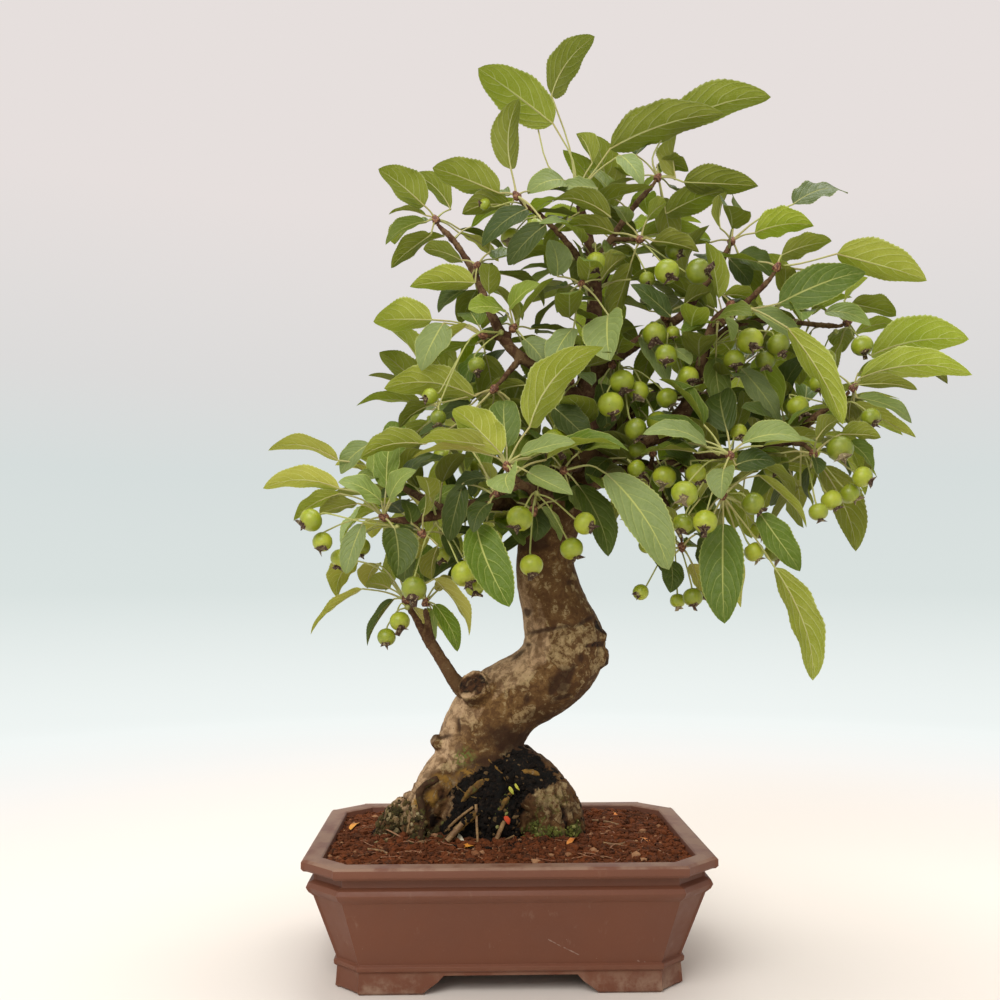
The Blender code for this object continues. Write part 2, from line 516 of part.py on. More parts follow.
def make_pot(collection, cutters):
    rings = []
    for level, inset_x, inset_y in pot_levels():
        corner = POT_CORNER - 0.35 * inset_x
        rings.append(ring_points(level, POT_LENGTH / 2 - inset_x, POT_DEPTH / 2 - inset_y, corner, 1.8))
    inner_length = POT_LENGTH / 2 - RIM_WIDTH
    inner_depth = POT_DEPTH / 2 - RIM_WIDTH
    rings.append(ring_points(POT_HEIGHT, inner_length + 0.8, inner_depth + 0.8, 15.0, 0.6))
    rings.append(ring_points(POT_HEIGHT - 0.8, inner_length, inner_depth, 15.0, 0.6))
    rings.append(ring_points(60.0, inner_length - 1.0, inner_depth - 1.0, 14.5, 0.6))
    rings.append(ring_points(FLOOR_TOP + 3.0, inner_length - 13.0, inner_depth - 15.5, 11.0, 0.5))
    rings.append(ring_points(FLOOR_TOP, inner_length - 16.0, inner_depth - 18.5, 10.0, 0.5))
    pot = mesh_object("pot", loft_rings("pot", rings), collection)
    for cutter in pot_cutters():
        cutters.objects.link(cutter)
        cutter.hide_render = True
        cutter.display_type = "WIRE"
        boolean(pot, "DIFFERENCE", cutter=cutter)
    for cutter in list(cutters.objects):
        bpy.data.objects.remove(cutter)
    keep_largest(pot.data)
    return pot


def arch_outline(length):
    """Half-round shouldered opening between two feet, as points across and up."""
    half = length / 2
    right = [(half + 11.4, -1.0), (half + 10.6, 1.2), (half + 7.4, 3.6), (half + 3.2, 6.4)]
    right.append((half, FOOT_HEIGHT))
    left = [(-across, up) for across, up in reversed(right)]
    return right + left


def prism(name, outline, half, along_x):
    """An outline pushed along the depth of the pot, or along its length."""
    def spot(across, up, side):
        if along_x:
            return Vector((side, across, up)) * MM
        return Vector((across, side, up)) * MM
    rings = [[spot(a, u, side) for a, u in outline] for side in (-half, half)]
    return bpy.data.objects.new(name, loft_rings(name, rings))


def pot_cutters():
    front = prism("front_arch", arch_outline(ARCH_LENGTH), POT_DEPTH, False)
    side = prism("side_arch", arch_outline(SIDE_ARCH_LENGTH), POT_LENGTH, True)
    half_x = POT_LENGTH / 2 - 18.0 - FOOT_WALL
    half_y = POT_DEPTH / 2 - 20.6 - FOOT_WALL
    pocket = bpy.data.objects.new("underside", loft_rings("underside", [
        ring_points(-1.0, half_x, half_y, 14.0, 0.5), ring_points(FOOT_HEIGHT, half_x, half_y, 14.0, 0.5)]))
    cutters = [front, side, pocket]
    for side_x in (-1, 1):
        shape = bmesh.new()
        bmesh.ops.create_cone(shape, cap_ends=True, segments=16, radius1=DRAIN_HOLE / 2 * MM,
                              radius2=DRAIN_HOLE / 2 * MM, depth=30.0 * MM)
        bmesh.ops.translate(shape, verts=shape.verts, vec=Vector((side_x * 48.0, 0.0, 14.0)) * MM)
        mesh = bpy.data.meshes.new("drain")
        shape.to_mesh(mesh)
        shape.free()
        cutters.append(bpy.data.objects.new("drain", mesh))
    return cutters


def soil_height(x, y, seed_wave):
    """Height of the soil's surface: a low mound round the trunk with small rises."""
    away = math.hypot((x + 10.0) / 62.0, (y - 14.0) / 46.0)
    mound = 2.2 * math.exp(-away * away)
    ripple = 0.5 * math.sin(x * 0.21 + seed_wave) * math.cos(y * 0.27 - seed_wave)
    ripple += 0.35 * math.sin(x * 0.53 - y * 0.41)
    return SOIL_TOP + mound + ripple


def root_runs():
    """Each run of wood that stands in the soil, with its bevel resolution."""
    runs = [(TRUNK, TRUNK_SIDES)]
    for name, rows in ROOTS.items():
        runs.append((rows, THIN_SIDES if "stray" in name else ROOT_SIDES))
    return runs


def make_soil(collection, cutters):
    inner_length = POT_LENGTH / 2 - RIM_WIDTH - GAP
    inner_depth = POT_DEPTH / 2 - RIM_WIDTH - GAP
    low = ring_points(FLOOR_TOP + GAP, inner_length - 17.0, inner_depth - 19.5, 10.0, 0.5)
    low_side = ring_points(FLOOR_TOP + 3.2, inner_length - 13.6, inner_depth - 16.1, 11.0, 0.5)
    high = ring_points(60.0, inner_length - 1.3, inner_depth - 1.3, 14.5, 0.6)
    rings = [low, low_side, high]
    edge = ring_points(SOIL_TOP - 0.6, inner_length - 0.9, inner_depth - 0.9, 14.6, 0.6)
    rings.append(edge)
    for share in (0.86, 0.68, 0.46, 0.24):
        ring = []
        for p in edge:
            x, y = p.x * share / MM, p.y * share / MM
            ring.append(Vector((x, y, soil_height(x, y, share * 9.0))) * MM)
        rings.append(ring)
    soil = mesh_object("soil", loft_rings("soil", rings), collection)
    for index, (rows, sides) in enumerate(root_runs()):
        hole = tube_mesh("hole", limb_stations(rows, ROOT_CLEARANCE), sides)
        cutter = mesh_object(f"root_hole_{index}", hole, cutters)
        cutter.hide_render = True
        cutter.display_type = "WIRE"
    boolean(soil, "DIFFERENCE", collection=cutters, solver="MANIFOLD")
    for cutter in list(cutters.objects):
        bpy.data.objects.remove(cutter)
    keep_largest(soil.data)
    return soil


def twig_rows(bud, limbs):
    """A short twig from the nearest lower branch to a bud, in the front view's own numbers."""
    bx, bz, by = bud
    best = None
    for rows in limbs:
        for (x0, z0, y0, r0), (x1, z1, y1, r1) in zip(rows, rows[1:]):
            for step in range(6):
                share = step / 5
                x, z, y, r = (a + (b - a) * share for a, b in
                              ((x0, x1), (z0, z1), (y0, y1), (r0, r1)))
                distance = math.dist((x, z, y), (bx, bz, by)) + 0.6 * max(0.0, z - bz)
                if best is None or distance < best[0]:
                    best = (distance, x, z, y, r)
    _, x, z, y, r = best
    start = min(r * 0.8, 3.2)
    return [(x, z, y, start), (bx, bz, by, TWIG_TIP)]


def make_wood(collection, cutters):
    """Trunk, roots, knobs, branches and twigs as one grown solid."""
    limbs = list(BRANCHES.values()) + [TRUNK]
    meshes = [tube_mesh("wood", limb_stations(rows), sides) for rows, sides in root_runs()]
    for name, rows in KNOBS.items():
        meshes.append(tube_mesh(name, limb_stations(rows), ROOT_SIDES))
    for name, rows in BRANCHES.items():
        meshes.append(tube_mesh(name, limb_stations(rows), BRANCH_SIDES))
    twigs = {}
    for name, (bud, _) in {**SPRAYS, **BACK_SPRAYS}.items():
        twigs[name] = twig_rows(bud, limbs)
        meshes.append(tube_mesh(f"twig_{name}", limb_stations(twigs[name]), THIN_SIDES))
    return joined("wood", meshes, collection, cutters), twigs


def ball_mesh(name, centre, radius, segments, rings, squash=1.0, axis=None):
    shape = bmesh.new()
    bmesh.ops.create_uvsphere(shape, u_segments=segments, v_segments=rings, radius=radius * MM)
    bmesh.ops.scale(shape, vec=(1.0, 1.0, squash), verts=shape.verts)
    if axis is not None:
        turn = Vector((0.0, 0.0, 1.0)).rotation_difference(axis).to_matrix()
        bmesh.ops.rotate(shape, cent=(0.0, 0.0, 0.0), matrix=turn, verts=shape.verts)
    bmesh.ops.translate(shape, vec=centre, verts=shape.verts)
    bmesh.ops.triangulate(shape, faces=shape.faces)
    mesh = bpy.data.meshes.new(name)
    shape.to_mesh(mesh)
    shape.free()
    return mesh


def bud_shape(name, rows, bud):
    """The knob of bud scales that a spray's stalks rise from, just past the end of its twig."""
    tip = place(*bud)
    before = place(*rows[-2][:3])
    direction = (tip - before).normalized()
    start = tip + direction * GAP * MM
    stations = [(start, TWIG_TIP * MM), (start + direction * 2.2 * MM, BUD_SCALES * MM),
                (start + direction * 5.6 * MM, 1.2 * MM)]
    return tube_mesh(name, stations, THIN_SIDES), start + direction * 2.6 * MM


def leaf_mesh(name, root, via, base, tip, normal, width, sections=None, grow=0.0):
    """One leaf: a three-sided stalk that opens into a bowed blade with its midrib as a keel below."""
    along = tip - base
    length = along.length
    along.normalize()
    up = (normal - along * normal.dot(along)).normalized()
    side = along.cross(up)
    half = width / 2
    keel = (BLADE_THICKNESS + grow) * MM
    stalk = (PETIOLE / 2 + grow) * MM
    rings = []
    root = root + ((base if via is None else via) - root).normalized() * 1.3 * MM

    def section(centre, reach, rise, drop, heading=along):
        turn = along.rotation_difference(heading)
        across, upward = turn @ side, turn @ up
        return [centre - across * reach + upward * rise, centre + across * reach + upward * rise,
                centre - upward * drop]

    stops = [root, base] if via is None else [root, via, base]
    headings = [(b - a).normalized() for a, b in zip(stops, stops[1:])] + [along]
    for index, stop in enumerate(stops):
        heading = headings[index] if index == 0 else headings[index - 1] + headings[index]
        rings.append(section(stop, stalk, stalk * 0.5, stalk, heading.normalized()))
    bow = 0.07 * length
    if sections is None:
        plain = length < SHORT_LEAF * MM or width < NARROW_LEAF * MM
        sections = SHORT_BLADE if plain else LONG_BLADE
    for share, breadth, wave in sections:
        centre = base + along * length * share + up * bow * 4 * share * (1 - share)
        reach = half * breadth + grow * MM
        ring = section(centre, reach, grow * MM, keel)
        ring[0] += up * wave * MM
        ring[1] += up * wave * MM
        rings.append(ring)
    count = 3
    points = [p for ring in rings for p in ring]
    faces = [(2, 1, 0)]
    for level in range(len(rings) - 1):
        bridge(count, 0, level, level + 1, faces)
    last = (len(rings) - 1) * count
    points.append(tip + along * grow * MM)
    for i in range(count):
        faces.append((last + i, last + (i + 1) % count, len(points) - 1))
    return mesh_from(name, points, faces)


def seen_leaf(row, bud, root, shift):
    """Root, bend, base, tip, normal and width of a leaf given in the front view, shifted in depth."""
    bx, bz, tx, tz, seen_width, face, dive = row[:7]
    dive *= DEPTH_SPREAD
    base_depth = bud[2] + 0.35 * dive + shift
    tip_depth = bud[2] + dive + shift
    base = place(bx, bz, base_depth)
    tip = place(tx, tz, tip_depth)
    via = place(*row[7], bud[2] + 0.15 * dive + 0.5 * shift) if len(row) > 7 else None
    along = (tip - base).normalized()
    middle = (base + tip) / 2
    front = view_axis(middle)
    front = (front - along * front.dot(along)).normalized()
    side = along.cross(front)
    if side.z < 0.0:
        side = -side
    angle = math.radians(face)
    normal = front * math.cos(angle) + side * math.sin(angle)
    width = seen_width * reach_at(tip_depth) * MM / max(abs(math.cos(angle)), 0.5)
    return root, via, base, tip, normal, min(width, 0.62 * (tip - base).length + 0.004)


def bounds_of(mesh):
    xs = [v.co for v in mesh.vertices]
    low = Vector([min(c[i] for c in xs) for i in range(3)])
    high = Vector([max(c[i] for c in xs) for i in range(3)])
    return low, high


class Room:
    """Everything placed so far, to keep each new piece clear of its neighbours."""

    def __init__(self):
        self.taken = []

    def add(self, owner, mesh):
        low, high = bounds_of(mesh)
        tree = BVHTree.FromPolygons([v.co for v in mesh.vertices], [p.vertices[:] for p in mesh.polygons])
        self.taken.append((owner, low, high, tree))

    def outside(self, point):
        """Whether a point lies outside the wood, which is the first piece taken."""
        nearest, normal, _, _ = self.taken[0][3].find_nearest(point)
        return (point - nearest).dot(normal) > 0.0

    def seated(self, point, reach):
        """The point moved straight towards or away from the wood until it lies the reach off it."""
        nearest, _, _, _ = self.taken[0][3].find_nearest(point)
        return nearest + (point - nearest).normalized() * reach

    def clear(self, owner, mesh):
        low, high = bounds_of(mesh)
        tree = BVHTree.FromPolygons([v.co for v in mesh.vertices], [p.vertices[:] for p in mesh.polygons])
        for other, other_low, other_high, other_tree in self.taken:
            if other == owner:
                continue
            if any(low[i] > other_high[i] or high[i] < other_low[i] for i in range(3)):
                continue
            if tree.overlap(other_tree):
                return False
        return True


def stalk_mesh(name, places, radius):
    """A three-sided stalk through three places."""
    along = (places[2] - places[0]).normalized()
    side = along.cross(Vector((0.0, 1.0, 0.0))).normalized()
    other = along.cross(side)
    rings = []
    for where in places:
        rings.append([where + (side * math.cos(a) + other * math.sin(a)) * radius * 1.2
                      for a in (0.0, math.tau / 3, math.tau * 2 / 3)])
    return loft_rings(name, rings)


def fruit_parts(name, fruit, knob, shift, arch, grow=0.0):
    """A fruit with the stalk that it hangs from."""
    x, z, radius, depth, swing = fruit
    centre = place(x, z, depth + shift)
    size = radius * reach_at(depth + shift)
    swing = math.radians(swing)
    down = Vector((math.sin(swing), -0.25, -math.cos(swing))).normalized()
    down = Matrix.Rotation(-POT_TURN, 3, "Z") @ down
    top = centre - down * (size * 0.7) * MM
    bend = top - down * STALK_BEND * MM
    rise, forward = arch
    middle = (knob + bend) / 2 + Vector((0.0, -forward, rise)) * (knob - bend).length
    stalk = (PEDICEL / 2 + grow) * MM
    root = knob + (middle - knob).normalized() * 0.6 * MM
    ball = ball_mesh(f"{name}_fruit", centre, size + grow, 6, 4, 0.95, down)
    return ball, stalk_mesh(f"{name}_stalk", (root, middle, top), stalk)


def knob_spots(hint):
    """Places round a branch, near the hinted one, where a bunch can hang from, the lowest ones first."""
    best = None
    for rows in [*BRANCHES.values(), TRUNK]:
        for first, second in zip(rows, rows[1:]):
            for step in range(11):
                spot = [a + (b - a) * step / 10 for a, b in zip(first, second)]
                distance = math.dist(spot[:3], hint)
                if best is None or distance < best[0]:
                    best = (distance, spot, first, second)
    _, (x, z, y, radius), first, second = best
    middle = place(x, z, y)
    along = (place(*second[:3]) - place(*first[:3])).normalized()
    low = Vector((0.0, -0.35, -1.0))
    low = (low - along * low.dot(along)).normalized()
    across = along.cross(low)
    reach = (radius * reach_at(y) + KNOB + GAP + 0.2) * MM
    spots = []
    for back in (0.0, -3.0, 3.0, -6.0, 6.0, -10.0):
        for degrees in (0, 40, -40, 80, -80, 125, -125, 180):
            turn = math.radians(degrees)
            outward = low * math.cos(turn) + across * math.sin(turn)
            spots.append(middle + along * back * MM + outward * reach)
    return spots


def free_fruit(owner, fruit, knob, room):
    """The first shift in depth and bend of stalk that keep a fruit clear, or None."""
    for shift in SHIFTS:
        for arch in ARCHES:
            tests = fruit_parts(owner, fruit, knob, shift, arch, 0.4)
            free = all(room.clear(owner, test) for test in tests)
            for test in tests:
                bpy.data.meshes.remove(test)
            if free:
                return fruit, knob, shift, arch
    return None


def make_bunch(name, hint, fruits, room, collection, cutters):
    """One bunch: a knob under the branch, stalks and fruits."""
    owner = f"fruit_{name}"
    best = None
    for spot in knob_spots(hint):
        if not room.outside(spot):
            continue
        knob = room.seated(spot, (KNOB + GAP) * MM)
        if not room.clear(owner, ball_mesh(owner, knob, KNOB + 0.25, 6, 4)):
            continue
        poses = [free_fruit(owner, fruit, knob, room) for fruit in fruits]
        found = [pose for pose in poses if pose]
        if best is None or len(found) > len(best[1]):
            best = (knob, found)
        if len(found) == len(fruits):
            break
    knob, poses = best
    meshes = [ball_mesh(owner, knob, KNOB, 5, 3)]
    for pose in poses:
        meshes += fruit_parts(owner, *pose)
    bunch = joined(owner, meshes, collection, cutters)
    room.add(owner, bunch.data)
    return bunch


def back_leaf(bud, root, share, turn, draws):
    """Root, bend, base, tip, normal and width of a far leaf that leans out from the canopy and droops."""
    outward = (place(*bud) - place(*CANOPY_CENTRE)).normalized()
    outward.z += 0.15
    outward.normalize()
    sideways = outward.cross(Vector((0.0, 0.0, 1.0))).normalized()
    upward = sideways.cross(outward)
    turn += 0.3 * draws[0]
    spread = 0.45 + share
    heading = outward * math.cos(spread)
    heading += (sideways * math.cos(turn) + upward * math.sin(turn)) * math.sin(spread)
    heading.z -= 0.12
    heading.normalize()
    length = (45.0 + 9.0 * draws[1]) * MM
    base = root + heading * (16.5 + 3.5 * draws[2]) * MM + Vector((0.0, 0.0, 3.0 * MM))
    tilt = Vector((0.35 * draws[3], 0.35 * draws[4], 1.0)) + outward * 0.5
    return root, None, base, base + heading * length, tilt.normalized(), length * (0.47 + 0.05 * draws[5])


def inner_leaf(bud, root, turn, draws):
    """Root, bend, base, tip, normal, width and sections of a leaf behind a seen spray."""
    inward = place(*CANOPY_CENTRE) - place(*bud)
    inward.y = 0.0
    turn += 0.4 * draws[0]
    heading = inward.normalized() * 0.55 + Vector((0.0, 0.75, 0.0))
    heading += Vector((math.cos(turn), 0.3 * draws[1], math.sin(turn))) * 0.8
    heading.normalize()
    length = (37.0 + 6.0 * draws[2]) * MM
    base = root + heading * (15.0 + 4.0 * draws[3]) * MM + Vector((0.0, 0.0, 2.0 * MM))
    tilt = Vector((0.5 * draws[4], -0.3, 1.0)).normalized()
    width = length * (0.47 + 0.05 * draws[5])
    return root, None, base, base + heading * length, tilt, width, INNER_BLADE


def free_leaf(owner, poses, room):
    """The leaf in the first of its poses that keeps clear of its neighbours, in a list, or no leaf."""
    for pose in poses:
        test = leaf_mesh("test", *pose, grow=0.3)
        free = room.clear(owner, test)
        bpy.data.meshes.remove(test)
        if free:
            leaf = leaf_mesh(owner, *pose)
            room.add(owner, leaf)
            return [leaf]
    return []


def seen_leaves(name, bud, rows, root, room):
    """Leaves of one spray that are given in the front view."""
    meshes = []
    for row in rows:
        meshes += free_leaf(f"leaves_{name}", [seen_leaf(row, bud, root, shift) for shift in SHIFTS], room)
    return meshes


def rule_leaves(name, count, pose_at, room):
    """Leaves of one spray that are set round its bud by rule."""
    rng = random.Random(name)
    meshes = []
    for index in range(count):
        draws = [rng.uniform(-1.0, 1.0) for _ in range(6)]
        poses = [pose_at(index, index * GOLDEN_TURN + turn, draws) for turn in TURNS]
        meshes += free_leaf(f"leaves_{name}", poses, room)
    return meshes


def make_sprays(knobs, room, collection, cutters):
    """Every spray as one solid of its bud and leaves: the seen leaves take their room first."""
    leaves = {}
    for name, (bud, rows) in SPRAYS.items():
        leaves[name] = seen_leaves(name, bud, rows, knobs[name][1], room)
    for name, (bud, count) in BACK_SPRAYS.items():
        root = knobs[name][1]
        leaves[name] = rule_leaves(name, count, lambda index, turn, draws: back_leaf(
            bud, root, index / count, turn, draws), room)
    for name, (bud, _) in SPRAYS.items():
        root = knobs[name][1]
        leaves[name] += rule_leaves(name, INNER_LEAVES, lambda index, turn, draws: inner_leaf(
            bud, root, turn, draws), room)
    return [joined(f"leaves_{name}", [knobs[name][0]] + meshes, collection, cutters)
            for name, meshes in leaves.items()]


def settle(parts):
    """Move the whole object so that its box stands centred on the origin."""
    lows, highs = zip(*(bounds_of(part.data) for part in parts))
    low = Vector([min(v[i] for v in lows) for i in range(3)])
    high = Vector([max(v[i] for v in highs) for i in range(3)])
    shift = Vector((-(low.x + high.x) / 2, -(low.y + high.y) / 2, -low.z))
    for part in parts:
        part.data.transform(Matrix.Translation(shift))
    return shift


def main():
    for old in list(bpy.data.objects):
        bpy.data.objects.remove(old)
    parts = new_collection("hall_crabapple_bonsai")
    cutters = new_collection("cutters")
    clay = material("clay", (0.155, 0.078, 0.055), 0.75)
    earth = material("earth", (0.16, 0.052, 0.02), 0.95)
    bark = material("bark", (0.3, 0.22, 0.14), 0.85)
    leaf_green = material("leaf", (0.13, 0.2, 0.04), 0.5)
    fruit_green = material("fruit", (0.26, 0.42, 0.04), 0.35)

    pot = make_pot(parts, cutters)
    pot.data.materials.append(clay)
    soil = make_soil(parts, cutters)
    soil.data.materials.append(earth)
    wood, twigs = make_wood(parts, cutters)
    wood.data.materials.append(bark)

    room = Room()
    room.add("wood", wood.data)
    room.add("pot", pot.data)
    room.add("soil", soil.data)
    knobs = {}
    for name, (bud, _) in {**SPRAYS, **BACK_SPRAYS}.items():
        knobs[name] = bud_shape(f"leaves_{name}", twigs[name], bud)
        room.add(f"leaves_{name}", knobs[name][0])
    for name, (hint, fruits) in BUNCHES.items():
        bunch = make_bunch(name, hint, fruits, room, parts, cutters)
        bunch.data.materials.append(fruit_green)
    for spray in make_sprays(knobs, room, parts, cutters):
        spray.data.materials.append(leaf_green)
    settle(list(parts.objects))


main()
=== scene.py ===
"""Looks of a hall crabapple bonsai in a rectangular unglazed clay pot.

The tree, its leaves and its fruit are placed by the same front view numbers as the solids that they
stand for: x and z in millimetres on the upright plane through the pot's middle, and y as the depth
behind that plane.
"""

import math
import random
from contextlib import contextmanager

import bmesh
import bpy
import numpy as np
from bpy.props import FloatProperty, FloatVectorProperty, IntProperty, PointerProperty
from mathutils import Matrix, Vector, noise
from mathutils.bvhtree import BVHTree
from mathutils.kdtree import KDTree


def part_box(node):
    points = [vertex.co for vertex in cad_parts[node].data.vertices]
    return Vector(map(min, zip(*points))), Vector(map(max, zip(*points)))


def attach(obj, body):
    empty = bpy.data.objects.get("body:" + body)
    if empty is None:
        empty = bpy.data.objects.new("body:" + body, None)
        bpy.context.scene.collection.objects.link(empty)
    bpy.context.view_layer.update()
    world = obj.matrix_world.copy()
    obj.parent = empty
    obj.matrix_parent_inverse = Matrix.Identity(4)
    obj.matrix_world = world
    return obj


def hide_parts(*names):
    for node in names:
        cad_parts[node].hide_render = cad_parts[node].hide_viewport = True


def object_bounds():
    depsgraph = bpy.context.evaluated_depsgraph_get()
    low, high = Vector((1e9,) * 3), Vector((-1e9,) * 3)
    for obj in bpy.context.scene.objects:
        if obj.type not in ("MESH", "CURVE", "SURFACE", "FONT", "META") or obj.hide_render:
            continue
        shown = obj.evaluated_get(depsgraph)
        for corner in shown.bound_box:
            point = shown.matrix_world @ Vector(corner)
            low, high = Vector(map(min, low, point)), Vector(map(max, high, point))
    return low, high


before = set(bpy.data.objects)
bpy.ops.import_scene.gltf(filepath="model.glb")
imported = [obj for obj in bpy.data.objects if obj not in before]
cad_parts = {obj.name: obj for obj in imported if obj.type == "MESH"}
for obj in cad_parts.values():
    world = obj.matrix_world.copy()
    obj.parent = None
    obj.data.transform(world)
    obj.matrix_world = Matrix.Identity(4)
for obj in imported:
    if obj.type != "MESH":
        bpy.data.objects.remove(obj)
CAD_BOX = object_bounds()

bl_info = {
    "name": "Crabapple Bonsai",
    "version": (1, 0, 0),
    "blender": (4, 5, 0),
    "location": "View3D > Sidebar > Bonsai",
    "description": "Models a fruiting crabapple bonsai in a clay pot round its packed frame",
    "category": "Object",
}

MM = 0.001
# Where the photo's camera stands in the front view's numbers, its lens in millimetres, how far it looks
# up and how far the pot is turned, in radians
EYE = Vector((-3.8, -637.6, 213.6))
LENS = 38.38
LOOK_UP = 0.079
POT_TURN = 0.0295
# How the solids are made: spread of the leaves in depth, gap between pieces, radius of a bunch's knob,
# rise of a fruit stalk over its fruit and radius of a twig's end, all but the first in millimetres
DEPTH_SPREAD = 1.4
GAP = 0.35
KNOB = 1.7
STALK_BEND = 6.0
TWIG_TIP = 2.1
# Trial places of leaves and fruit in depth, bends of fruit stalks and turns of far leaves
SHIFTS = (0, -5, 5, -10, 10, -16, 16, -23, 23, -31, 31)
ARCHES = ((0.1, 0.0), (-0.05, 0.15), (0.25, 0.1), (0.1, -0.2), (0.3, -0.1))
TURNS = (0.0, 0.4, -0.4, 0.8, -0.8, 1.3, -1.3, 2.0)
POT_LOW, POT_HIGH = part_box("pot")
SETTLED = Vector(((POT_LOW.x + POT_HIGH.x) / 2, (POT_LOW.y + POT_HIGH.y) / 2, 0.0))
# Inner leaves: tries in all and tries for covered places only, then in metres the room to the edge of
# the solids' box, to other pieces and between leaves, and how far a line of sight is followed
MOST_TRIES = 26000
COVERED_TRIES = 9000
EDGE_ROOM = 0.002
PIECE_ROOM = 0.0022
LEAF_ROOM = 0.0085
SIGHT = 0.3
# Distance within which corners are joined, level of the soil, and radius, curve and wall of the
# backdrop, in metres
WELD = 0.00001
SOIL_LEVEL = 0.067
DISH = 1.15
DISH_CURVE = 0.9
DISH_WALL = 1.7


def rows_of(text):
    """Rows of numbers from a text that has a semicolon between rows."""
    return [tuple(float(number) for number in row.split()) for row in text.split(";")]


def named_rows(text):
    """Rows of numbers by name: a name and a colon start each one, which may run over some lines."""
    found = {}
    for line in text.strip().splitlines():
        name, colon, numbers = line.rpartition(":")
        if colon:
            latest = name
            found[latest] = ""
        found[latest] += " " + numbers
    return {name: rows_of(numbers) for name, numbers in found.items()}


# Trunk with its leader: x, z, depth and radius of each section
TRUNK = rows_of("""
-12 48 20 31; -13 70 20 33; -13 86 20 33; -14 100 19 30; -16 114 18 26.5; -13 127 17 25;
-5 140 15 24; 6 149 14 22.5; 19 156 12 22.5; 30 166 11 24; 34.5 179 10 24.5; 31.5 191 9 22;
28 202 8 19.6; 24.5 215 7 18.4; 22.8 230 6 17; 26 247 4 17; 32 263 3 16; 39 279 2 14; 46 293 1 11;
50.5 306 0 8.6; 50 320 0 7.2; 49 337 0 6.2; 51 355 0 5.6; 53 373 0 5; 54 391 0 4.4; 53 410 2 3.8;
49 430 3 3.2; 45 446 3 2.7""")

# Root lobes that spread from the trunk's foot into the soil
ROOTS = named_rows("""
right: -2 108 8 13; 11 101 5 16; 23 89 4 16.5; 29 75 4 16.5; 31 48 4 16
right_outer: 22 98 14 9; 33 88 15 9; 38 74 15 8.2; 39 48 15 7.6
left: -28 112 12 12; -37 101 7 13; -45 88 4 12; -50 74 4 11.5; -52 48 4 11
far_left: -44 92 10 8; -56 85 8 7.5; -66 77 6 7; -73 66 6 6.4; -75 48 6 6
middle: -12 104 10 15; -13 84 8 17; -12 48 8 17
back_right: 4 110 28 13; 18 96 38 13; 28 78 45 11; 31 48 47 10
back_left: -30 110 28 12; -42 94 38 12; -51 76 45 10; -54 48 47 9
back: -12 108 34 14; -12 88 43 13; -12 48 48 11
stray_left: -40 100 -6 2; -51 93 -8 2.2; -49 78 -10 2.1; -51 56 -12 2
stray_front: -10 84 -8 2; -22 77 -15 2.3; -35 64 -19 2.4; -40 57 -20 2.2""")

# Old pruning stub and the callus knobs of the trunk
KNOBS = named_rows("""
pruned_stub: -8 143 10 12; -15 149 2 10.5; -20.5 155 -7 9.6
upper_knob: 42 181 8 12; 52 182.5 5 8; 59 181 4 3.6
lower_knob: 42 170 6 12; 54 170.5 4 8; 60.5 170.5 3 4.2
left_knob: -33 118 12 8; -40 121 8 4.8; -43.5 123 6 3""")

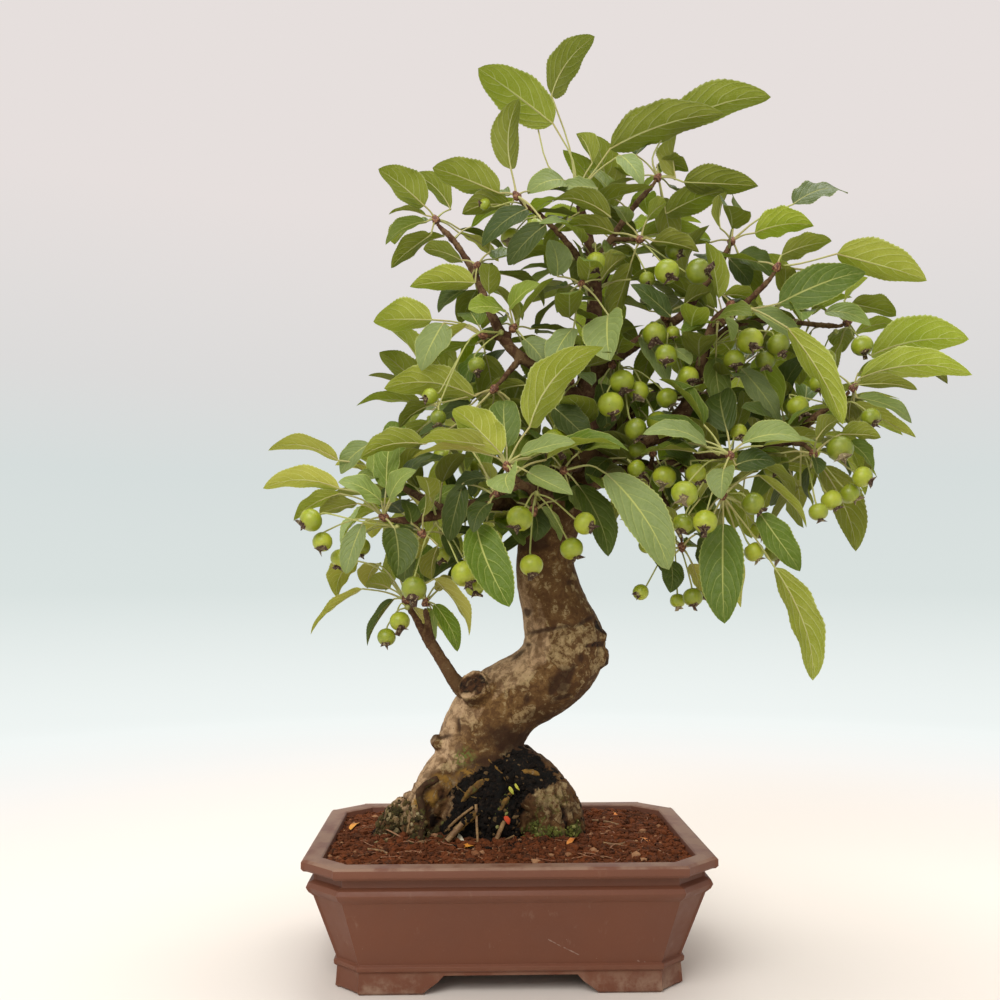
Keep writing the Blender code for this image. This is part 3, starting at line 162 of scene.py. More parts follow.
# Branches, from inside what they grow from to their tips
BRANCHES = named_rows("""
young: -20 146 9 7; -30 156 6 5.2; -38 168 4 4.3; -45 179 2 4
young_left: -44.5 177 2 3.6; -50.5 187 0 3.2; -54 194 -1 2.8; -58 200 -2 2.5
young_right: -45 178 2 3.4; -46 188 3 2.8; -48 198 4 2.4
crown: 53 405 1 3.4; 64 424 5 3; 78 444 10 2.6; 90 458 13 2.2
crown_left: 54 398 1 3.4; 38 421 -6 2.8; 22 438 -15 2.4; 10 446 -22 2.1
right_main: 42 284 2 9; 72 297 4 7; 97 307 4 6.5; 112 326 3 5.2; 119 350 2 4.2; 126 372 -2 3.4;
133 380 -6 2.6
right_high: 50 338 0 5; 80 360 8 4.2; 106 376 7 3.6; 118 392 7 3.2; 128 405 8 2.8; 136 419 10 2.3
far_right_high: 124 366 -1 3.2; 142 381 -5 2.8; 156 394 -10 2.4; 163 402 -13 2.2
far_right: 120 357 2 3.4; 140 371 8 2.9; 165 374 12 2.6; 188 371 13 2.4; 203 370 13 2.1
right_low: 40 274 5 8; 88 283 16 5.4; 125 287 12 4.4; 148 292 8 3.8; 171 301 2 3.4; 186 314 -6 3;
198 323 -11 2.6; 206 328 -15 2.2
right_spur: 167 299 3 2.8; 178 298 -12 2.5; 183 294 -21 2.1
right_front: 108 287 13 4; 118 291 -12 3.4; 128 291 -34 2.8; 133 291 -49 2.2
right_hang: 124 287 12 3.6; 127 280 -10 3; 130 271 -30 2.3
middle_hang: 84 282 14 4; 94 264 -2 3.2; 101 250 -14 2.7; 105 241 -20 2.2
left_low: 26 258 2 9; 6 262 -8 6; -18 261 -18 4.8; -38 256 -24 4; -57 252 -29 3.2; -68 252 -32 2.4
left_mid: -34 257 -22 3.4; -52 266 -4 3; -67 274 5 2.4
front_middle: 34 266 0 8; 22 268 -26 4.6; 10 273 -48 3.4; 2 280 -66 2.5
front_right: 42 284 0 6; 42 284 -18 3.8; 36 282 -36 2.6
left_high: 49 320 0 6; 28 340 -8 4.8; 5 354 -16 4.2; -8 375 -14 3.6; -19 402 -4 3; -32 423 6 2.6;
-41 432 10 2.2
back_left: 42 286 4 7; 26 288 24 5; 4 302 40 4.2; -18 304 48 3.4; -34 316 60 2.6
back_right: 50 304 2 7; 66 310 26 5; 92 328 38 4.2; 116 326 54 3.4; 136 338 62 2.6
back_low: 28 254 6 7; 14 250 26 4.8; -6 260 40 3.8; -28 256 48 3.2; -44 264 58 2.4
back_high: 53 370 1 4.4; 52 384 18 3.4; 62 404 28 2.8; 64 418 40 2.3
back_far_right: 130 288 11 3.6; 146 286 30 3; 162 300 40 2.6; 176 306 52 2.2""")
LIMBS = [*BRANCHES.values(), TRUNK]

# Leafy sprays: name and look of each leaf, then where the bud sits, then each leaf as base x and z,
# tip x and z, seen width, the way it faces (0 top to the front, 90 edge on, 180 underside to the
# front), how far its tip lies behind the bud and, for a bent stalk, the point that it passes through
SPRAYS = {}
for title, (bud, *leaves) in named_rows("""
crown_left cccdd: 8 449 -24; 3 468 6 512 19 150 -5 5 459; -4 453 -45 470 22 145 -8;
3 445 -27 441 14 140 6; 13 443 -15 421 14 40 -8; 24 433 1 408 15 35 10
crown_top ccsgcccgg: 44 449 3; 29 497 -17 533 28 150 -12 41 474; 28 515 54 553 20 145 8 39 482;
19 497 5 519 10 130 14 26 470; 36 461 14 455 14 45 -16; 64 481 134 505 26 150 -8 55 468;
53 472 45 491 12 120 6; 64 438 27 450 13 140 -22 56 440; 56 456 33 457 8 55 -10;
70 477 84 459 12 30 -16
crown_right cdoocc: 92 461 14; 98 491 163 515 24 150 -6 90 475; 80 477 92 488 8 60 10;
93 471 112 468 12 130 8; 104 463 104 489 16 120 6; 109 460 155 458 19 145 -8; 98 440 133 456 18 140 -6
middle_top oomo: 80 424 -12; 66 428 32 430 12 130 -8; 90 423 118 417 12 130 4; 86 436 98 447 9 120 10;
74 434 64 446 9 60 8
right_top oobddd: 137 421 11; 131 431 134 453 8 110 4; 139 431 138 454 8 70 8;
152 428 188 434 18 140 -6; 176 446 210 456 12 60 6 155 437; 142 415 163 402 14 40 -8;
136 412 149 396 12 35 6
right_mid_top obg: 164 404 -14; 168 414 199 423 14 140 6; 202 415 257 400 24 145 -10 180 409;
222 413 247 403 9 55 10 192 405
right_mid mbpgbg: 135 382 -9; 166 384 220 405 24 20 -12 150 381; 171 369 204 310 18 140 -14 154 379;
132 376 137 361 6 60 -10; 150 380 181 361 12 45 10; 132 389 151 386 9 120 8;
142 344 166 310 14 35 4 139 364
far_right opbpb: 205 371 13; 210 384 237 378 12 130 6; 194 379 222 371 11 45 -14;
212 366 236 372 8 130 4; 221 352 281 362 24 140 -8 212 361; 206 386 219 401 7 110 4
far_right_low pobgbd: 208 330 -16; 214 338 281 342 20 150 -6; 213 334 249 332 9 130 -16;
213 341 243 349 9 120 8; 212 326 246 313 8 60 -8; 210 323 247 302 8 130 6;
240 355 268 337 9 120 14 224 346
right_low modmod: 184 293 -23; 202 304 226 303 11 130 -8; 187 301 199 313 12 130 8;
185 290 187 280 8 40 -16; 206 299 221 281 9 50 6 195 300; 189 285 211 235 20 140 10;
183 284 182 263 5 60 14
right_front ggdg: 134 291 -52; 121 296 84 306 11 50 -16; 142 298 178 302 13 50 -12;
138 285 162 287 14 30 -4; 131 283 129 265 17 25 -18
right_hang mmobdy: 130 268 -34; 130 250 129 191 27 12 -14; 152 256 176 222 17 30 -10 142 262;
160 224 184 158 19 145 -6 149 241; 152 279 182 250 6 110 2 141 276; 120 244 118 217 6 60 12;
141 226 139 200 7 130 12 137 246
middle_hang ddyd: 105 238 -22; 98 228 98 209 14 20 -8; 88 231 96 220 7 40 10;
111 226 117 208 11 140 6; 114 244 124 236 10 60 -10
front_right gdg: 35 282 -40; 60 280 98 224 26 25 -26 50 285; 43 273 62 231 18 40 -10;
38 271 52 257 12 35 6
front_centre bbbtggg: 1 283 -70; 14 308 56 359 25 140 -4; -3 292 -31 321 24 150 -12;
-10 297 -53 302 11 120 -6; -9 291 -57 292 8 110 6; 8 291 41 300 10 60 -16; 3 281 2 269 21 40 -26;
13 281 40 268 14 30 -10
front_left mdddbo: -4 268 -44; -18 249 2 201 27 15 -22; -10 262 -20 246 13 30 -20;
-12 277 -32 270 8 60 0; -26 274 -35 239 15 30 6; -22 296 -47 300 6 110 12; -8 273 -17 286 10 130 8
front_fruit dgd: 16 260 -44; 15 260 18 240 15 30 -10; 21 260 34 240 6 50 4; 20 276 27 290 12 60 12
left_low ooddd: -52 246 -32; -50 254 -52 276 7 110 10; -41 237 -45 217 10 120 14;
-56 234 -61 213 11 25 8; -57 250 -63 265 13 50 4; -38 244 -28 229 10 40 6
left_far ppdgboy: -71 253 -34; -75 263 -100 276 13 55 -14; -70 264 -56 283 12 55 -10;
-67 247 -65 219 23 15 -14; -86 250 -96 220 13 25 -8; -100 268 -128 253 10 130 2 -86 264;
-89 262 -112 256 9 120 10; -100 271 -146 272 14 140 -6 -85 267
left_mid poygy: -69 276 6; -80 278 -72 298 10 30 -6; -64 279 -48 294 8 120 0;
-101 288 -142 297 10 125 4; -82 298 -100 280 12 40 4 -76 288; -83 280 -102 286 7 130 12
left_high bgym: -12 364 -24; -45 374 -81 374 27 145 -8 -28 372; -38 372 -52 344 19 30 -12 -26 370;
-23 371 -46 345 7 110 -4; -13 354 -26 333 10 60 -8
left_upper boodp: -6 333 -28; -19 327 -74 332 20 150 -12; -49 298 -88 291 14 140 -4 -26 313;
-44 322 -65 309 9 120 10 -26 326; -21 322 -40 314 10 35 10; 2 325 0 310 10 60 4
centre_stem bbpg: 3 367 -20; -1 380 -23 381 11 60 -12; 2 381 20 397 10 60 -10; 8 375 29 400 6 100 2;
11 362 24 346 14 35 -4
left_top ccoooo: -42 434 10; -50 445 -78 469 21 145 -8; -34 443 -56 466 12 130 8;
-49 439 -72 441 5 95 0; -49 435 -74 421 9 60 -4; -46 427 -71 407 12 130 4; -38 426 -57 414 6 110 10
left_top_low obdo: -18 406 -10; -27 411 -50 419 10 120 10; -19 397 -59 395 17 145 -8;
-24 393 -42 379 10 50 8; -10 416 -4 436 10 110 6
young_left yodtt: -59 202 -3; -86 211 -118 186 7 110 -6 -72 209; -69 211 -84 214 14 140 -8;
-67 205 -84 178 6 70 -4; -91 228 -102 207 20 140 8 -76 223; -77 226 -83 212 12 140 14 -70 220
young_right tmpto: -48 200 4; -43 217 -20 184 8 120 -14 -50 212; -43 202 -28 175 11 30 -8;
-42 199 -43 179 7 50 10; -43 212 -30 216 9 130 6; -54 209 -60 222 8 120 10
middle dgo: 97 375 -2; 100 376 77 397 12 40 -8; 82 364 98 335 14 30 -16; 108 383 124 392 10 120 8
centre_right d: 64 346 -9; 57 335 60 305 16 30 2
centre_low ddd: 88 291 -6; 95 295 113 291 11 35 6; 62 289 49 274 12 30 -16 76 290;
92 286 100 262 12 40 -6
leader_mid ggdgo: 47 396 -14; 31 401 27 424 18 20 -8; 62 377 62 350 30 30 -24; 56 386 30 384 6 80 -8;
41 369 27 345 15 35 -8; 58 399 72 414 10 120 10
leader_low doo: 38 336 -20; 29 320 51 299 18 30 -6; 12 334 -16 322 8 120 4; 24 318 31 304 10 130 8
""").items():
    name, look = title.split()
    SPRAYS[name] = (bud, look, leaves)

# Bunches of fruit: the place on the branches that a bunch hangs from, then each fruit as x, z, radius,
# depth and the way that its calyx points in the front view, in degrees from straight down
BUNCHES = named_rows("""
crown_left: 14 443 -6; 3 425 6.5 -28 -25; 18 430 7 -32 -30
middle_top: 66 426 3; 55 410 6.5 -18 0; 98 404 8 -26 10; 117 404 8 -22 75; 86 399 5 -14 0;
103 417 6 -10 40
right_mid: 121 358 1; 138 349 6.7 -16 0; 148 361 8 -22 10; 165 359 7 -16 20; 157 349 6 -10 0;
123 360 4 -12 0
middle: 96 371 7; 90 365 7.5 -22 0; 101 366 4.5 -10 0; 97 352 7 -28 -10; 110 339 6.7 -18 20
centre_right: 64 348 4; 70 336 7.5 -28 10; 80 330 6.5 -20 -20; 63 322 8 -36 10; 78 307 7 -28 25;
97 326 6.5 -12 30; 91 312 6.5 -8 20
centre_low: 88 282 14; 79 294 5.5 -12 10; 78 283 5.5 -20 40; 95 278 7 -30 -20; 84 237 5.3 -26 20
right_front: 128 289 -38; 107 268 8 -68 -25; 119 251 7.5 -66 -20; 106 250 6.5 -54 -20;
114 280 6.5 -42 20; 140 305 5.3 -46 0
right_hang: 129 272 -28; 148 262 7 -46 45; 148 233 6 -38 30; 160 233 6 -30 30; 151 246 5.5 -24 20;
160 283 5.4 -24 30
middle_hang: 104 243 -18; 102 204 4.6 -16 0; 111 206 6 -28 0; 117 209 5 -12 10; 80 209 5 -18 -50
front_fruit: 14 270 -42; 8 253 8 -62 -25; 47 250 7 -60 60; 39 235 7 -48 25; 15 225 7.3 -46 5
left_low: -44 252 -26; -55 211 8 -54 0; -38 231 5 -14 0; -25 220 8 -46 30; -19 212 6 -34 10
left_far: -66 250 -31; -117 252 7.3 -44 -55; -110 239 6.3 -36 0; -87 236 6 -28 0; -99 229 6 -22 -20
left_high: -4 362 -8; -18 346 5.5 -34 10; -46 327 5.2 -42 -60; -41 314 5 -34 0
leader_low: 36 332 -3; 30 299 8.5 -36 10; 42 360 5 -16 0
right_low: 181 295 -7; 201 295 8.3 -38 0; 187 257 5.7 -42 10; 195 264 6.5 -34 30; 214 278 6.3 -34 50;
206 268 6.3 -26 40
far_right: 203 325 -4; 220 314 6.3 -30 20; 176 321 7 -2 30; 189 335 6 8 0
far_right_top: 200 369 2; 216 358 6.5 -6 0; 194 350 6 20 0
back_left: -20 304 49; -22 284 7 62 0; -38 290 6.5 72 0; -10 276 7 58 0
back_right: 120 328 56; 112 308 7 72 0; 130 306 6.5 78 0; 122 292 7 66 0""")

# Fruit that only the finished model has, given in the same way
LOOSE_BUNCHES = named_rows("""
young: -59 200 -8; -63.4 191.8 6.2 -14 15; -71.2 182.4 5.6 -12 0
leader: 54 420 -6; 54.8 409.9 6.4 -26 0
crown: 11 446 -21; -13 446 3.6 -26 -95""")

# Outlines in the front view, x and z: patches of the trunk's foot, and the canopy that inner leaves
# stay within
OUTLINES = named_rows("""
peat: -24 101; -10 108; 2 115; 11 118; 22 109; 34 100; 24 95; 13 91; 7 82; 8 60; -4 58; -36 60;
-38 72; -30 84; -32 94
lobe: 7 80; 20 93; 34 98; 43 86; 46 60; 11 60
moss: 9 72; 20 76; 32 70; 42 76; 45 66; 8 65
mossy_bits: -8 76; -3 90; 2 90; 0 78; -6 72
left_foot: -76 82; -62 90; -52 84; -46 72; -40 74; -38 62; -78 62
canopy: -100 262; -84 290; -60 300; -50 330; -58 372; -46 392; -66 412; -60 446; -20 450; 0 470;
12 500; 30 505; 50 492; 70 500; 100 488; 110 462; 130 450; 150 436; 186 428; 200 410; 232 398;
236 372; 262 348; 240 330; 224 300; 220 274; 196 262; 176 240; 150 226; 140 204; 120 214; 100 222;
88 240; 60 244; 50 262; 30 250; 12 236; -6 222; -26 224; -44 222; -70 228; -92 236""")

# Sprays on the far side, grown by rule: bud and number of leaves
BACK_SPRAYS = {
    "back_left": ((-37, 318, 63), 10),
    "back_right": ((139, 340, 65), 10),
    "back_low": ((-47, 265, 61), 8),
    "back_high": ((65, 421, 43), 9),
    "back_far_right": ((179, 308, 54), 8),
}
CANOPY_CENTRE = (50, 335, 0)
GOLDEN_TURN = math.radians(137.5)
INNER_LEAVES = 3


def place(x, z, y):
    """The real place of a point seen at x, z on the front plane and lying at depth y."""
    point = EYE + (Vector((x, 0.0, z)) - EYE) * reach_at(y)
    return Matrix.Rotation(-POT_TURN, 3, "Z") @ point * MM + SETTLED


def reach_at(y):
    return (y - EYE.y) / -EYE.y


def front_numbers(places):
    """Front view x, z and depth of an array of real places."""
    turn = np.array(Matrix.Rotation(POT_TURN, 3, "Z"))
    flat = (places - np.array(SETTLED)) @ turn.T / MM
    reach = (flat[:, 1] - EYE.y) / -EYE.y
    return EYE.x + (flat[:, 0] - EYE.x) / reach, EYE.z + (flat[:, 2] - EYE.z) / reach, flat[:, 1]


def eye_place():
    return Matrix.Rotation(-POT_TURN, 3, "Z") @ EYE * MM + SETTLED


def view_axis(point):
    return (eye_place() - point).normalized()


def linear(red, green, blue):
    """Linear colour of a screen colour given in 0 to 255."""
    values = []
    for part in (red / 255, green / 255, blue / 255):
        values.append(part / 12.92 if part <= 0.04045 else ((part + 0.055) / 1.055) ** 2.4)
    return (*values, 1.0)


def tint(name, text, screen):
    return FloatVectorProperty(name=name, description=text, subtype="COLOR", size=4, min=0.0, max=1.0,
                               default=linear(*screen))


def length_property(name, text, millimetres):
    return FloatProperty(name=name, description=text, default=millimetres * MM, min=0.0, unit="LENGTH",
                         subtype="DISTANCE")


class LeafSettings(bpy.types.PropertyGroup):
    top: tint("Upper side", "Waxy grey-green of the upper side", (70, 97, 20))
    top_pale: tint("Upper bloom", "Pale bloom on older upper sides", (137, 149, 98))
    under: tint("Underside", "Yellow-green of the underside", (148, 157, 30))
    under_pale: tint("Underside down", "Pale down on the underside", (182, 186, 82))
    vein: tint("Veins", "Pale yellow of midrib and side veins", (200, 200, 110))
    glow: tint("Light through", "Colour of light that passes through a blade", (186, 205, 28))
    stalk: tint("Leaf stalk", "Pale green of the leaf stalks", (160, 160, 85))
    stalk_blush: tint("Stalk blush", "Reddish foot of the leaf stalks", (150, 95, 65))
    thickness: length_property("Thickness", "Thickness at the middle of a blade", 0.34)
    stalk_width: length_property("Stalk width", "Width of a leaf stalk", 1.15)
    tooth: FloatProperty(name="Tooth", description="Share of the half width that a tooth stands out",
                         default=0.045, min=0.0, max=0.2)
    inner: IntProperty(name="Inner leaves", description="Small leaves set along the inner branches",
                       default=270, min=0, max=600)


class FruitSettings(bpy.types.PropertyGroup):
    skin: tint("Skin", "Green of the unripe fruit", (118, 132, 20))
    skin_sun: tint("Sunny side", "Yellower side of the fruit", (170, 176, 46))
    calyx: tint("Calyx", "Dried brown sepals below the fruit", (64, 41, 26))
    calyx_pale: tint("Calyx down", "Pale down on some sepals", (200, 184, 138))
    stalk: tint("Fruit stalk", "Pale green of the fruit stalks", (146, 152, 66))
    stalk_width: length_property("Stalk width", "Width of a fruit stalk", 1.1)


class WoodSettings(bpy.types.PropertyGroup):
    bark: tint("Bark", "Olive brown of the old bark", (110, 81, 45))
    bark_dark: tint("Dark bark", "Brown of the shaded and wet bark", (76, 49, 25))
    bark_pale: tint("Pale bark", "Pale dry plates on the knees of the trunk", (161, 139, 99))
    # Pale bark laid on faces turned up and to the left, a painted light, and on the rims of the big hollow
    lit_and_bleached: tint("Bleached bark", "Pale beige of the smooth bark on the left", (187, 155, 119))
    young: tint("Young wood", "Reddish brown of thin branches", (80, 52, 34))
    peat: tint("Peat", "Black fibrous peat held between the roots", (11, 8, 5))
    moss: tint("Moss", "Green film at the foot of the roots", (92, 98, 44))
    ochre: tint("Ochre", "Ochre lichen on the left root", (132, 98, 42))
    wrinkle: length_property("Wrinkles", "Depth of the wrinkles at the trunk's foot", 3.2)
    plate: length_property("Bark plates", "How far a plate of bark stands proud", 0.4)


class SoilSettings(bpy.types.PropertyGroup):
    earth: tint("Earth", "Reddish brown of the soil", (108, 54, 22))
    earth_dark: tint("Dark earth", "Wet and peaty crumbs", (46, 26, 13))
    earth_pale: tint("Pale grit", "Dry bits of bark and grit", (168, 128, 92))
    crumbs: IntProperty(name="Crumbs", description="Number of crumbs strewn on the soil", default=5600,
                        min=0, max=6000)
    crumb_size: length_property("Crumb size", "Usual width of a crumb", 2.6)


class PotSettings(bpy.types.PropertyGroup):
    clay: tint("Clay", "Matte purplish brown of the unglazed clay", (106, 63, 44))
    dust: tint("Dust", "Pale dust and lime on the rim", (160, 136, 114))
    chip: tint("Scratches", "Fresh grey of scratches and chips", (158, 136, 122))
    edge: length_property("Edge", "Rounding of the pot's edges", 1.0)


class StageSettings(bpy.types.PropertyGroup):
    floor: tint("Floor", "Warm white of the floor", (252, 247, 240))
    haze: tint("Haze", "Pale blue low on the backdrop", (214, 221, 220))
    sky: tint("Backdrop", "Grey lilac high on the backdrop", (230, 223, 221))
    top_light: FloatProperty(name="Top light", description="Power of the soft light above", default=20.0,
                             min=0.0, unit="POWER")
    front_light: FloatProperty(name="Front light", description="Power of the soft light in front",
                               default=12.0, min=0.0, unit="POWER")


class BonsaiSettings(bpy.types.PropertyGroup):
    leaf: PointerProperty(type=LeafSettings)
    fruit: PointerProperty(type=FruitSettings)
    wood: PointerProperty(type=WoodSettings)
    soil: PointerProperty(type=SoilSettings)
    pot: PointerProperty(type=PotSettings)
    stage: PointerProperty(type=StageSettings)


# Mesh helpers

def only(*objects):
    """Select these objects alone and make the first one active."""
    bpy.ops.object.select_all(action="DESELECT")
    for item in objects:
        item.select_set(True)
    bpy.context.view_layer.objects.active = objects[0]


def shown(name, data):
    made = bpy.data.objects.new(name, data)
    bpy.context.scene.collection.objects.link(made)
    return made


@contextmanager
def editing(action="SELECT"):
    """Edit mode on the active object, begun with everything selected or deselected."""
    bpy.ops.object.mode_set(mode="EDIT")
    bpy.ops.mesh.select_all(action=action)
    yield
    bpy.ops.object.mode_set(mode="OBJECT")


def numbers_of(items, key, width=1, kind=np.float32):
    """The numbers that a mesh keeps for each of its items."""
    values = np.empty(len(items) * width, dtype=kind)
    items.foreach_get(key, values)
    return values.reshape(-1, width) if width > 1 else values


def coordinates(mesh):
    return numbers_of(mesh.vertices, "co", 3, float)


def set_coordinates(mesh, places):
    mesh.vertices.foreach_set("co", np.ascontiguousarray(places, dtype=np.float32).ravel())
    mesh.update()


def vertex_normals(mesh):
    return numbers_of(mesh.vertex_normals, "vector", 3).astype(float)


def paint(mesh, name, *columns):
    """Store four numbers a vertex as a colour attribute."""
    layer = mesh.attributes.get(name) or mesh.attributes.new(name, "FLOAT_COLOR", "POINT")
    values = np.stack(np.broadcast_arrays(*columns), axis=1)
    layer.data.foreach_set("color", np.ascontiguousarray(values, dtype=np.float32).ravel())


def primitive(add, **settings):
    """Add a primitive with nothing else selected."""
    bpy.ops.object.select_all(action="DESELECT")
    add(**settings)
    return bpy.context.active_object


def select_edges(made, wanted):
    """In edit mode, select only the edges that a test picks."""
    bpy.ops.mesh.select_all(action="DESELECT")
    shape = bmesh.from_edit_mesh(made.data)
    for edge in shape.edges:
        edge.select = wanted(edge)
    bmesh.update_edit_mesh(made.data)


def apply_modifiers(made):
    only(made)
    for modifier in list(made.modifiers):
        bpy.ops.object.modifier_apply(modifier=modifier.name)


def dressed(made, material):
    """Give an object this material alone."""
    made.data.materials.clear()
    made.data.materials.append(material)


def smoothed(made, degrees=None):
    """Shade an object smooth, with sharp edges kept past an angle if one is given."""
    only(made)
    if degrees:
        bpy.ops.object.shade_smooth_by_angle(angle=math.radians(degrees))
    else:
        bpy.ops.object.shade_smooth()


def declared(piece, replaced=None):
    """Hide the solid that a finished piece replaces, if one is given, and hang the piece on the root body."""
    if replaced:
        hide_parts(replaced)
    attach(piece, "root")


def joined(name, objects):
    only(*objects)
    bpy.ops.object.join()
    made = bpy.context.view_layer.objects.active
    made.name = name
    made.data.name = name
    return made


def tubes(name, runs, resolution, material=None):
    """Closed tapered tubes along runs of place and radius, as one mesh object."""
    curve = bpy.data.curves.new(name, "CURVE")
    curve.dimensions = "3D"
    curve.bevel_depth = 1.0
    curve.bevel_resolution = resolution
    curve.use_fill_caps = True
    for run in runs:
        spline = curve.splines.new("POLY")
        spline.points.add(len(run) - 1)
        for point, (where, radius) in zip(spline.points, run):
            point.co = (*where, 1.0)
            point.radius = radius
    only(shown(name, curve))
    bpy.ops.object.convert(target="MESH")
    made = bpy.context.view_layer.objects.active
    with editing():
        bpy.ops.mesh.remove_doubles(threshold=WELD)
        bpy.ops.mesh.normals_make_consistent(inside=False)
    smoothed(made, 50)
    if material:
        dressed(made, material)
    return made


def repeated(name, blank, copies, tones, materials):
    """One object of many copies of a blank mesh, each with its own places and tone."""
    faces = [tuple(face.vertices) for face in blank.polygons]
    count = len(blank.vertices)
    every = [tuple(i + count * index for i in face) for index in range(len(copies)) for face in faces]
    mesh = bpy.data.meshes.new(name)
    mesh.from_pydata(np.concatenate(copies).tolist(), [], every)
    made = shown(name, mesh)
    for item in materials:
        mesh.materials.append(item)
    slots = numbers_of(blank.polygons, "material_index", kind=np.int32)
    mesh.polygons.foreach_set("material_index", np.tile(slots, len(copies)))
    if blank.uv_layers:
        flat = numbers_of(blank.uv_layers[0].data, "uv", 2).ravel()
        mesh.uv_layers.new(name="blade").data.foreach_set("uv", np.tile(flat, len(copies)))
    paint(mesh, "tone", *np.repeat(np.array(tones), count, axis=0).T)
    return made


def spline_rows(rows, step):
    """Rows of numbers smoothed by a Catmull-Rom curve, about one row every step millimetres."""
    rows = [np.array(row, dtype=float) for row in rows]
    ends = [2 * rows[0] - rows[1], *rows, 2 * rows[-1] - rows[-2]]
    smooth = []
    for a, b, c, d in zip(ends, ends[1:], ends[2:], ends[3:]):
        pieces = max(1, round(np.linalg.norm((c - b)[:3]) / step))
        for index in range(pieces):
            t = index / pieces
            smooth.append(0.5 * (2 * b + (c - a) * t + (2 * a - 5 * b + 4 * c - d) * t * t
                                 + (3 * b - 3 * c + d - a) * t ** 3))
    smooth.append(rows[-1])
    return smooth


def wood_run(rows, step):
    """A smooth run through rows of the front view's numbers."""
    return [(place(x, z, y), max(r, 0.4) * reach_at(y) * MM) for x, z, y, r in spline_rows(rows, step)]


def free_run(points, radii, pieces):
    """A smooth run through real places, with a radius at each."""
    rows = spline_rows([(*(p / MM), r / MM) for p, r in zip(points, radii)],
                       max(1.0, (points[-1] - points[0]).length / MM / (pieces * (len(points) - 1))))
    return [(Vector(row[:3]) * MM, max(row[3], 0.05) * MM) for row in rows]


# Shader helpers

class Nodes:
    """Nodes of one tree; each input takes a plain value or a socket to link."""

    def __init__(self, tree):
        self.tree = tree

    def feed(self, socket, value):
        if isinstance(value, bpy.types.NodeSocket):
            self.tree.links.new(value, socket)
        else:
            socket.default_value = value

    def add(self, kind, inputs=None, **settings):
        made = self.tree.nodes.new(f"ShaderNode{kind}")
        for key, value in settings.items():
            setattr(made, key, value)
        for key, value in (inputs or {}).items():
            self.feed(made.inputs[key], value)
        return made

    def calc(self, operation, first, second=0.0, **settings):
        return self.add("Math", {0: first, 1: second}, operation=operation, **settings).outputs[0]

    def times(self, first, second):
        return self.calc("MULTIPLY", first, second)

    def plus(self, first, second):
        return self.calc("ADD", first, second)

    def minus(self, first, second):
        return self.calc("SUBTRACT", first, second)

    def most(self, first, second):
        return self.calc("MAXIMUM", first, second)

    def ease(self, value, low, high, to_low=0.0, to_high=1.0):
        """A value eased from one range to another and held at its ends."""
        return self.add("MapRange", {"Value": value, "From Min": low, "From Max": high, "To Min": to_low,
                        "To Max": to_high}, interpolation_type="SMOOTHSTEP").outputs[0]

    def mix(self, share, first, second, blend="MIX"):
        """Mix two colours; three plain numbers are a screen colour in 0 to 255."""
        first, second = (linear(*colour) if isinstance(colour, tuple) and len(colour) == 3 else colour
                         for colour in (first, second))
        return self.add("Mix", {0: share, 6: first, 7: second}, data_type="RGBA",
                        blend_type=blend).outputs[2]

    def noise(self, vector, scale, detail=3.0, rough=0.5, distortion=0.0):
        return self.add("TexNoise", {"Vector": vector, "Scale": scale, "Detail": detail,
                        "Roughness": rough, "Distortion": distortion}).outputs["Fac"]

    def stretched(self, vector, scale):
        return self.add("Mapping", {"Vector": vector, "Scale": scale}).outputs["Vector"]

    def parts(self, vector):
        return self.add("SeparateXYZ", {0: vector}).outputs

    def vector(self, operation, inputs, output=0):
        return self.add("VectorMath", inputs, operation=operation).outputs[output]


def effect_group(name, numbers, outputs):
    """A shader node group that reads a vector and some numbers and puts out masks or heights."""
    group = bpy.data.node_groups.new(name, "ShaderNodeTree")
    group.interface.new_socket(name="Vector", in_out="INPUT", socket_type="NodeSocketVector")
    for label, value in numbers.items():
        group.interface.new_socket(name=label, in_out="INPUT",
                                   socket_type="NodeSocketFloat").default_value = value
    for label in outputs:
        group.interface.new_socket(name=label, in_out="OUTPUT", socket_type="NodeSocketFloat")
    given = group.nodes.new("NodeGroupInput").outputs
    return Nodes(group), given, group.nodes.new("NodeGroupOutput").inputs


def spots_group():
    """Small spots strewn by a cell pattern, with ragged edges."""
    nodes, given, out = effect_group("strewn_spots", {"Scale": 300.0, "Share": 0.2, "Size": 0.3}, ["Mask"])
    cells = nodes.add("TexVoronoi", {"Vector": given["Vector"], "Scale": given["Scale"]}).outputs
    draw = nodes.add("SeparateColor", {0: cells["Color"]}).outputs[0]
    rough = nodes.times(nodes.noise(given["Vector"], 900.0, 2.0), 0.25)
    near = nodes.calc("LESS_THAN", nodes.plus(cells["Distance"], rough), given["Size"])
    nodes.feed(out["Mask"], nodes.times(nodes.calc("LESS_THAN", draw, given["Share"]), near))
    return nodes.tree


def blotches_group():
    """Soft blotches of two sizes, from 0 to 1."""
    nodes, given, out = effect_group("soft_blotches", {"Scale": 40.0}, ["Mask"])
    large = nodes.noise(given["Vector"], given["Scale"], 4.0, 0.6, 0.3)
    small = nodes.noise(given["Vector"], nodes.times(given["Scale"], 4.3), 3.0, 0.6)
    total = nodes.plus(nodes.times(large, 0.68), nodes.times(small, 0.32))
    nodes.feed(out["Mask"], nodes.ease(total, 0.36, 0.64))
    return nodes.tree


def grain_group():
    """Height of a grainy surface, from fine sand to small pits."""
    nodes, given, out = effect_group("grain_height", {"Scale": 800.0}, ["Height"])
    sand = nodes.noise(given["Vector"], given["Scale"], 5.0, 0.7)
    wide = nodes.noise(given["Vector"], nodes.times(given["Scale"], 0.2), 3.0, 0.6)
    nodes.feed(out["Height"], nodes.plus(nodes.times(sand, 0.6), nodes.times(wide, 0.8)))
    return nodes.tree


